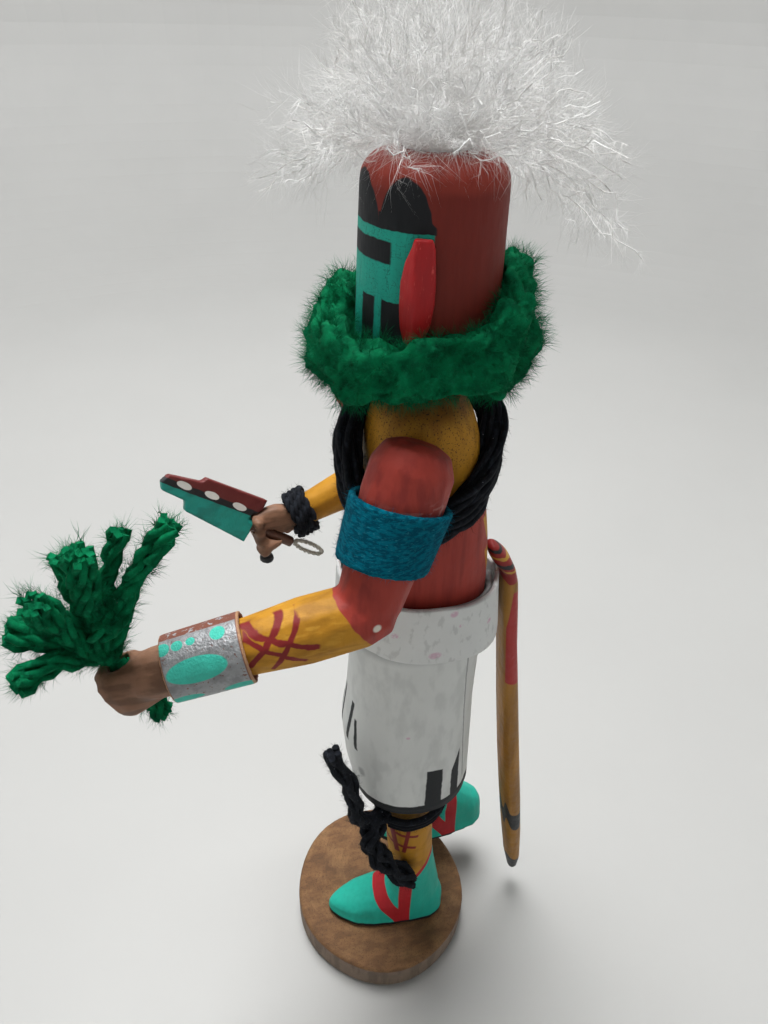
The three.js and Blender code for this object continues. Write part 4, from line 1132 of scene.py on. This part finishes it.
def surface_of(node):
    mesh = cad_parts[node].data
    corners = [v.co.copy() for v in mesh.vertices]
    return BVHTree.FromPolygons(corners, [tuple(p.vertices) for p in mesh.polygons])


def wrapped_sheet(name, node, start, turn, low, high, wall, edge_lift):
    """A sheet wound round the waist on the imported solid's outside, its last edge lifted off the first."""
    skin = surface_of(node)
    columns, rows = 120, 34
    grid = np.zeros((rows, columns, 3))
    for j in range(columns):
        angle = math.radians(start + turn * j / (columns - 1))
        way = Vector((math.cos(angle), math.sin(angle), 0))
        for i in range(rows):
            height = low(angle) + (high(angle) - low(angle)) * i / (rows - 1)
            centre = point(KILT_AXIS[0], KILT_AXIS[1], height)
            hit = skin.ray_cast(centre + way * 0.06, -way)[0]
            found = hit is not None and (hit - centre).dot(way) > 0.006
            grid[i, j] = (angle, height, (hit - centre).length if found else 0)
        rim = grid[:, j, 2]
        known = np.flatnonzero(rim > 0)
        rim[:] = np.interp(np.arange(rows), known, rim[known])
    radii = grid[:, :, 2]
    for _ in range(4):
        radii[:, 1:-1] = (radii[:, :-2] + 2 * radii[:, 1:-1] + radii[:, 2:]) / 4
    points, faces = [], []
    for i in range(rows):
        for j in range(columns):
            angle, height, radius = grid[i, j]
            r = radius + edge_lift(j / (columns - 1), i / (rows - 1)) * MM
            aside, back = r * math.cos(angle), r * math.sin(angle)
            points.append((KILT_AXIS[0] * MM + aside, KILT_AXIS[1] * MM + back, height * MM))
    for i in range(rows - 1):
        for j in range(columns - 1):
            a = i * columns + j
            faces.append((a, a + 1, a + columns + 1, a + columns))
    piece = new_piece(name, points, faces)
    wall_thickness = piece.modifiers.new("Wall", "SOLIDIFY")
    wall_thickness.thickness = wall * MM
    wall_thickness.offset = -1
    return settle(piece)


# The carved and painted pieces

def make_carvings():
    """Each piece's node, name, mesh width in millimetres, rounds of smoothing, paint and slot."""
    ears = ear_paint()
    knob = plain_wood_paint("knob_paint", srgb(34, 36, 40))
    for node, name, width, rounds, paint, slot in (
        ("figure", "carved_figure", 0.62, 9, figure_paint(), "painted_wood"),
        ("left_arm", "carved_left_arm", 0.4, 9, left_arm_paint(), "painted_wood"),
        ("right_arm", "carved_right_arm", 0.4, 9, right_arm_paint(), "painted_wood"),
        ("left_ear", "carved_left_ear", 0.25, 5, ears, "ear_paint"),
        ("right_ear", "carved_right_ear", 0.25, 5, ears, "ear_paint"),
        ("base", "branch_slice", 0.55, 4, base_wood(), "base_wood"),
        ("fox_pelt", "carved_fox_pelt", 0.4, 6, pelt_paint(), "pelt_paint"),
        ("wand", "carved_wand", 0.28, 2, wand_paint(), "wand_paint"),
        ("peg", "carved_peg", 0.2, 3, knob, "wand_paint"),
    ):
        dress(softened(node, name, width, rounds), paint, node)


def make_leather():
    cuff = softened("bow_guard", "leather_bow_guard", 0.3, 4)
    dress(cuff, silvered_leather(), "bow_guard")


def make_sheets():
    def kilt_low(angle):
        return 69.0

    def kilt_high(angle):
        return 134.6 - 0.9 * math.sin(angle) - 1.5 * max(0.0, math.sin(angle)) ** 2

    def kilt_lift(share, rise):
        overlap = max(0.0, (share - 0.93) / 0.07)
        return 0.05 * math.sin(share * 24) * (1 - rise) + 0.7 * overlap ** 0.5 - 0.25

    kilt = wrapped_sheet("painted_kilt", "kilt", 68.0, 378.0, kilt_low, kilt_high, 0.7, kilt_lift)
    dress(kilt, kilt_paint(), "kilt")

    def belt_low(angle):
        return 122.4 - 2.3 * math.sin(angle) + 0.15 * math.sin(5 * angle)

    def belt_high(angle):
        back = max(0.0, math.sin(angle)) ** 2
        return 135.9 - 1.0 * math.sin(angle) - 1.5 * back + 0.12 * math.sin(9 * angle + 1)

    def belt_lift(share, rise):
        ends = max(0.0, abs(share - 0.5) * 2 - 0.94) / 0.06
        return 0.4 * ends + 0.08 * math.sin(share * 22 + rise * 2) - 0.1 + 0.6 * (1 - rise)

    belt = wrapped_sheet("painted_belt", "belt", 88.0, 352.0, belt_low, belt_high, 0.9, belt_lift)
    dress(belt, belt_paint(), "belt")


def make_armbands(fuzz):
    cloth = felt()
    hair = fibre("felt_fibre", 1.1, 0.03, 0.5, 2)
    for side in ("left", "right"):
        band = softened(side + "_armband", side + "_felt_armband", 0.4, 3)
        run_tree(band, fuzz, Fibre=hair, Density=2.0e6, Spread=1.6, Curl=0.0008, Material=cloth)
        dress(band, cloth, side + "_armband")
    bpy.data.objects.remove(hair)


# Yarn

BANDOLIER = (
    (-8.6, 3.2, 176.2), (-6.0, 11.0, 175.0), (-1.0, 15.8, 171.0), (4.4, 15.8, 165.8), (8.8, 13.2, 161.8),
    (13.0, 8.8, 158.6), (14.8, 3.2, 156.2), (13.6, -3.4, 155.6), (9.0, -8.8, 157.0), (3.6, -10.2, 161.2),
    (-1.4, -9.4, 167.4), (-6.0, -4.6, 174.0),
)


def away_from_trunk(path):
    rise = np.where(path[:, 2] > 170, (path[:, 2] - 166) * 1.2, 0)
    return np.column_stack([path[:, 0] - 0.9, path[:, 1] - 3.5, rise])


def make_bandolier(yarn, fuzz, wool, hair):
    path = smooth_path(BANDOLIER, 12, closed=True)
    offsets = [(1.2, b) for b in (-2.4, -0.8, 0.8, 2.4)] + [(-0.2, b) for b in (-2.6, -1.3, 0.0, 1.3, 2.6)]
    offsets += [(-1.5, -1.6), (-1.5, 0.0), (-1.5, 1.6)]
    piece = path_piece("black_bandolier", strands(path, offsets, away_from_trunk, closed=True), closed=True)
    run_tree(
        piece, yarn, Radius=0.00105, Plies=2, Twist=50.0, Step=0.0014, Sides=5, Waver=0.0006, Material=wool,
    )
    run_tree(piece, fuzz, Fibre=hair, Density=1.1e6, Spread=1.0, Flow=1.0, Curl=0.0012, Material=wool)
    dress(piece, wool, "bandolier")


def make_wristband(yarn, fuzz, wool, hair):
    wrist, elbow = Vector(RIGHT_WRIST), Vector(RIGHT_ELBOW)
    axis = (wrist - elbow).normalized()
    across = (Vector((1, 0, 0)) - axis * axis.x).normalized()
    third = axis.cross(across)
    turns, per_turn = 4, 24
    path = []
    for k in range(turns * per_turn + 1):
        angle = 2 * math.pi * k / per_turn
        shift = -2.3 + 4.6 * k / (turns * per_turn)
        place = wrist + axis * shift + (across * math.cos(angle) + third * math.sin(angle)) * 4.55
        path.append(tuple(place))
    piece = path_piece("black_wristband", [path])
    run_tree(piece, yarn, Radius=0.00085, Plies=2, Twist=200.0, Step=0.0009, Material=wool)
    run_tree(piece, fuzz, Fibre=hair, Density=1.2e6, Spread=0.9, Flow=0.5, Curl=0.0008, Material=wool)
    dress(piece, wool, "wristband")


LEG_YARN_RISING = (
    (10.8, -3.6, 64.6), (12.6, -9.2, 65.8), (13.8, -11.0, 74.0), (14.1, -12.4, 84.0), (14.1, -16.4, 96.5),
)
LEG_YARN_HANGING = ((11.2, -3.8, 64.4), (14.2, -7.4, 60.6), (15.8, -4.0, 51.0), (16.4, 3.4, 40.4))


def offsets_round(count, start, aside, across):
    """Offsets evenly spaced round an oval."""
    turns = np.linspace(start, start + 2 * math.pi, count, endpoint=False)
    return [(aside * math.cos(a), across * math.sin(a)) for a in turns]


def make_leg_yarn(yarn, fuzz, wool, hair):
    paths = []
    turns, per_turn = 3, 28
    ring = []
    for k in range(turns * per_turn + 1):
        angle = 2 * math.pi * k / per_turn - 0.9
        shift = -1.8 + 3.6 * k / (turns * per_turn)
        c, s = math.cos(angle), math.sin(angle)
        ring.append((7.9 + 7.7 * c, 4.5 + 8.5 * s, 64.8 + 1.2 * s + shift))
    paths.append(ring)
    rising = smooth_path(LEG_YARN_RISING, 8)
    hanging = smooth_path(LEG_YARN_HANGING, 8)
    ring_offsets = offsets_round(6, 0, 1.1, 1.1)
    tail_offsets = offsets_round(7, 0.3, 1.7, 1.8)
    def sideways(path):
        return np.tile([1.0, 0.2, 0.0], (len(path), 1))
    paths += strands(rising, ring_offsets + [(0, 0)], sideways, wander=0.5)
    paths += strands(hanging, tail_offsets + [(0.6, 0), (-0.6, 0.5)], sideways, wander=0.7)
    piece = path_piece("black_leg_yarn", paths)
    run_tree(piece, yarn, Radius=0.00085, Plies=1, Step=0.0014, Sides=6, Waver=0.0006, Material=wool)
    run_tree(piece, fuzz, Fibre=hair, Density=1.6e6, Spread=0.9, Flow=1.0, Curl=0.0012, Material=wool)
    dress(piece, wool, "leg_yarn")


def make_ruff(fuzz, wool, hair):
    """Cut yarn bunched round the neck: a lumpy roll of small tufts, under a thick coat of fibres."""
    def lumps(place, outward):
        coarse = noise.noise(place * 0.17)
        fine = noise.noise(place * 0.42)
        return place + outward * (2.4 * coarse + 1.4 * fine - 0.9)

    piece = reshaped(softened("ruff", "green_ruff", 0.7, 6), lumps)
    run_tree(
        piece, fuzz, Fibre=hair, Density=0.82e6, Spread=0.7, Clump=1.8, Curl=0.0016, CurlScale=420.0,
        Material=wool,
    )
    dress(piece, wool, "ruff")


BUNDLE_ROOT = (21.5, -52.9, 143.6)
BUNDLE_TIPS = (
    ((22.9, -40.2, 168.9), 1.5, 4), ((20.9, -47.4, 167.1), 0.9, 3), ((25.9, -52.6, 167.7), 2.2, 6),
    ((18.9, -56.4, 162.7), 1.9, 5), ((26.9, -60.2, 160.7), 2.2, 6), ((22.9, -66.0, 152.7), 2.4, 6),
    ((28.9, -65.2, 147.7), 1.9, 5), ((17.9, -61.8, 146.7), 1.9, 5), ((24.1, -51.4, 153.7), 2.6, 6),
)
BUNDLE_TAIL = ((21.5, -52.0, 141.0), (21.5, -50.4, 137.2), (21.7, -48.6, 132.4), (21.9, -46.9, 127.8))


def make_bundle(yarn, fuzz, wool, hair):
    paths = []
    def sideways(path):
        return np.tile([1.0, 0.3, 0.1], (len(path), 1))
    for tip, spread, count in BUNDLE_TIPS:
        root = np.array(BUNDLE_ROOT) + RNG.uniform(-0.8, 0.8, 3)
        middle = (root + np.array(tip)) / 2 + np.array([0, -1.0, 1.6])
        path = smooth_path([root, (root + middle) / 2 + RNG.uniform(-0.5, 0.5, 3), middle, tip], 6)
        fan = np.linspace(0.35, 1.0, len(path))[:, None]
        angles = np.linspace(0, 2 * math.pi, count, endpoint=False) + RNG.uniform(0, 1)
        offsets = [(spread * 0.72 * math.cos(a), spread * 0.72 * math.sin(a)) for a in angles] + [(0, 0)]
        for strand in strands(path, offsets, sideways, wander=0.25):
            paths.append(path + (strand - path) * fan)
    tail = smooth_path(BUNDLE_TAIL, 5)
    paths += strands(tail, [(0, 0), (1.0, 0), (-1.0, 0.3), (0.2, 1.0), (0, -1.0)], sideways, wander=0.2)
    piece = path_piece("green_yarn_bundle", paths)
    run_tree(
        piece, yarn, Radius=0.00115, Plies=2, Twist=130.0, Step=0.0016, Sides=4, Waver=0.0012, Material=wool,
    )
    run_tree(
        piece, fuzz, Fibre=hair, Density=0.28e6, Spread=0.8, Flow=1.5, Clump=1.8, Curl=0.0022,
        CurlScale=420.0, Material=wool,
    )
    dress(piece, wool, "yarn_bundle")


def make_yarn(fuzz):
    yarn = yarn_tree()
    black, green = black_wool(), green_wool()
    short_hair = fibre("short_fibre", 1.5, 0.028, 0.6, 2)
    long_hair = tuft("wool_tuft", 6, 3.0, 0.034, 1.1, 0.55)
    make_bandolier(yarn, fuzz, black, short_hair)
    make_wristband(yarn, fuzz, black, short_hair)
    make_leg_yarn(yarn, fuzz, black, short_hair)
    make_ruff(fuzz, green, long_hair)
    make_bundle(yarn, fuzz, green, long_hair)
    bpy.data.objects.remove(short_hair)
    bpy.data.objects.remove(long_hair)
    make_thong(yarn)


def make_thong(yarn):
    """The loop of string behind the wand's handle."""
    string = pale_string()
    back = -Vector(WAND_ALONG)
    across = Vector((0.25, 0.57, 0.78)).normalized()
    start = Vector(WAND_GRIP) + back * 6.3 + Vector((0, 0, 0.6))
    path = []
    for k in range(24):
        angle = 2 * math.pi * k / 24
        path.append(tuple(start + back * (3.6 * (1 - math.cos(angle))) + across * (1.3 * math.sin(angle))))
    piece = path_piece("string_loop", [path], closed=True)
    run_tree(piece, yarn, Radius=0.0005, Plies=2, Twist=450.0, Step=0.0004, Waver=0.0, Material=string)
    dress(piece, string, "thong")


# Down

DOWN_ROOT = (HEAD_AXIS[0], HEAD_AXIS[1], HEAD_TOP)
# How fast the crown falls away from its top, times the square of the distance in millimetres
CROWN_FALL = 0.03
QUILL_COUNT = 180
GOLDEN_TURN = 0.618034
# The way, in degrees, in which the down rises clear of the head
CLEAR_WAY = -15


def plume_core():
    """The thick middle of the plume, where the down is too dense to see through."""
    form = bmesh.new()
    bmesh.ops.create_icosphere(form, subdivisions=3, radius=MM)
    mesh = bpy.data.meshes.new("down_core")
    form.to_mesh(mesh)
    form.free()

    def rounded(place, outward):
        away = Vector((place.x * 5.6, place.y * 5.6, place.z * 4.4 + 1.6))
        away *= 1 + 0.1 * noise.noise(place * 1.5)
        crown = -CROWN_FALL * (away.x ** 2 + away.y ** 2)
        away.z = max(away.z, crown + 0.1)
        return Vector(DOWN_ROOT) + away

    return reshaped(placed("down_core", mesh), rounded)


def make_plume(fuzz):
    """Small downy feathers that burst from the crown, droop past the head and rise clear on the left."""
    quills = []
    for k in range(QUILL_COUNT):
        angle = 2 * math.pi * (k * GOLDEN_TURN % 1)
        off = math.acos(math.cos(angle - math.radians(CLEAR_WAY)))
        droop = min(1.0, max(0.0, (off - 0.5) / 0.75))
        droop = droop * droop * (3 - 2 * droop)
        back = 0.5 + 0.5 * math.sin(angle)
        level = (k + 0.5) / QUILL_COUNT
        low = 0.02 + 0.14 * (1 - droop)
        tilt = math.acos(max(-1, min(1, 1 - level * (1 - low)))) * RNG.uniform(0.9, 1.05)
        sink = max(0.0, tilt - 0.75) / 0.8 * droop
        length = 18.0 + sink * (2 + 8 * back) + RNG.uniform(-3, 2.5)
        out = np.array([math.sin(tilt) * math.cos(angle), math.sin(tilt) * math.sin(angle), math.cos(tilt)])
        aside = RNG.uniform(0.3, 1.0) * 7.5 * math.sin(tilt)
        root = np.array(DOWN_ROOT) + np.array([0, 0, 0.2 - CROWN_FALL * aside ** 2])
        root += np.array([math.cos(angle), math.sin(angle), 0]) * aside
        fall = np.array([0, 0, -1.0]) * sink * (8 + 9 * back)
        places = []
        for s in (0.3, 0.6, 0.85, 1.0):
            places.append(root + out * length * s + fall * s * s + RNG.uniform(-0.9, 0.9, 3) * s)
        quills.append(smooth_path(places, 3))
    piece = path_piece("white_plume", quills)
    down = white_down()
    barb = tuft("down_tuft", 5, 7.6, 0.021, 2.6, 0.4, 2)
    run_tree(
        piece, down_tree(), Barb=barb, Step=0.0011, Lean=0.9, Sway=0.006, SwayScale=190.0, Material=down,
    )
    core = plume_core()
    run_tree(core, fuzz, Fibre=barb, Density=2.4e6, Spread=0.8, Curl=0.004, CurlScale=190.0, Material=down)
    bpy.data.objects.remove(barb)
    piece = join_pieces("white_plume", [piece, core])
    dress(piece, down, "plume")


place_camera()
place_lights()
make_floor()
make_carvings()
make_leather()
make_sheets()
fuzz = fuzz_tree()
make_armbands(fuzz)
make_yarn(fuzz)
make_plume(fuzz)
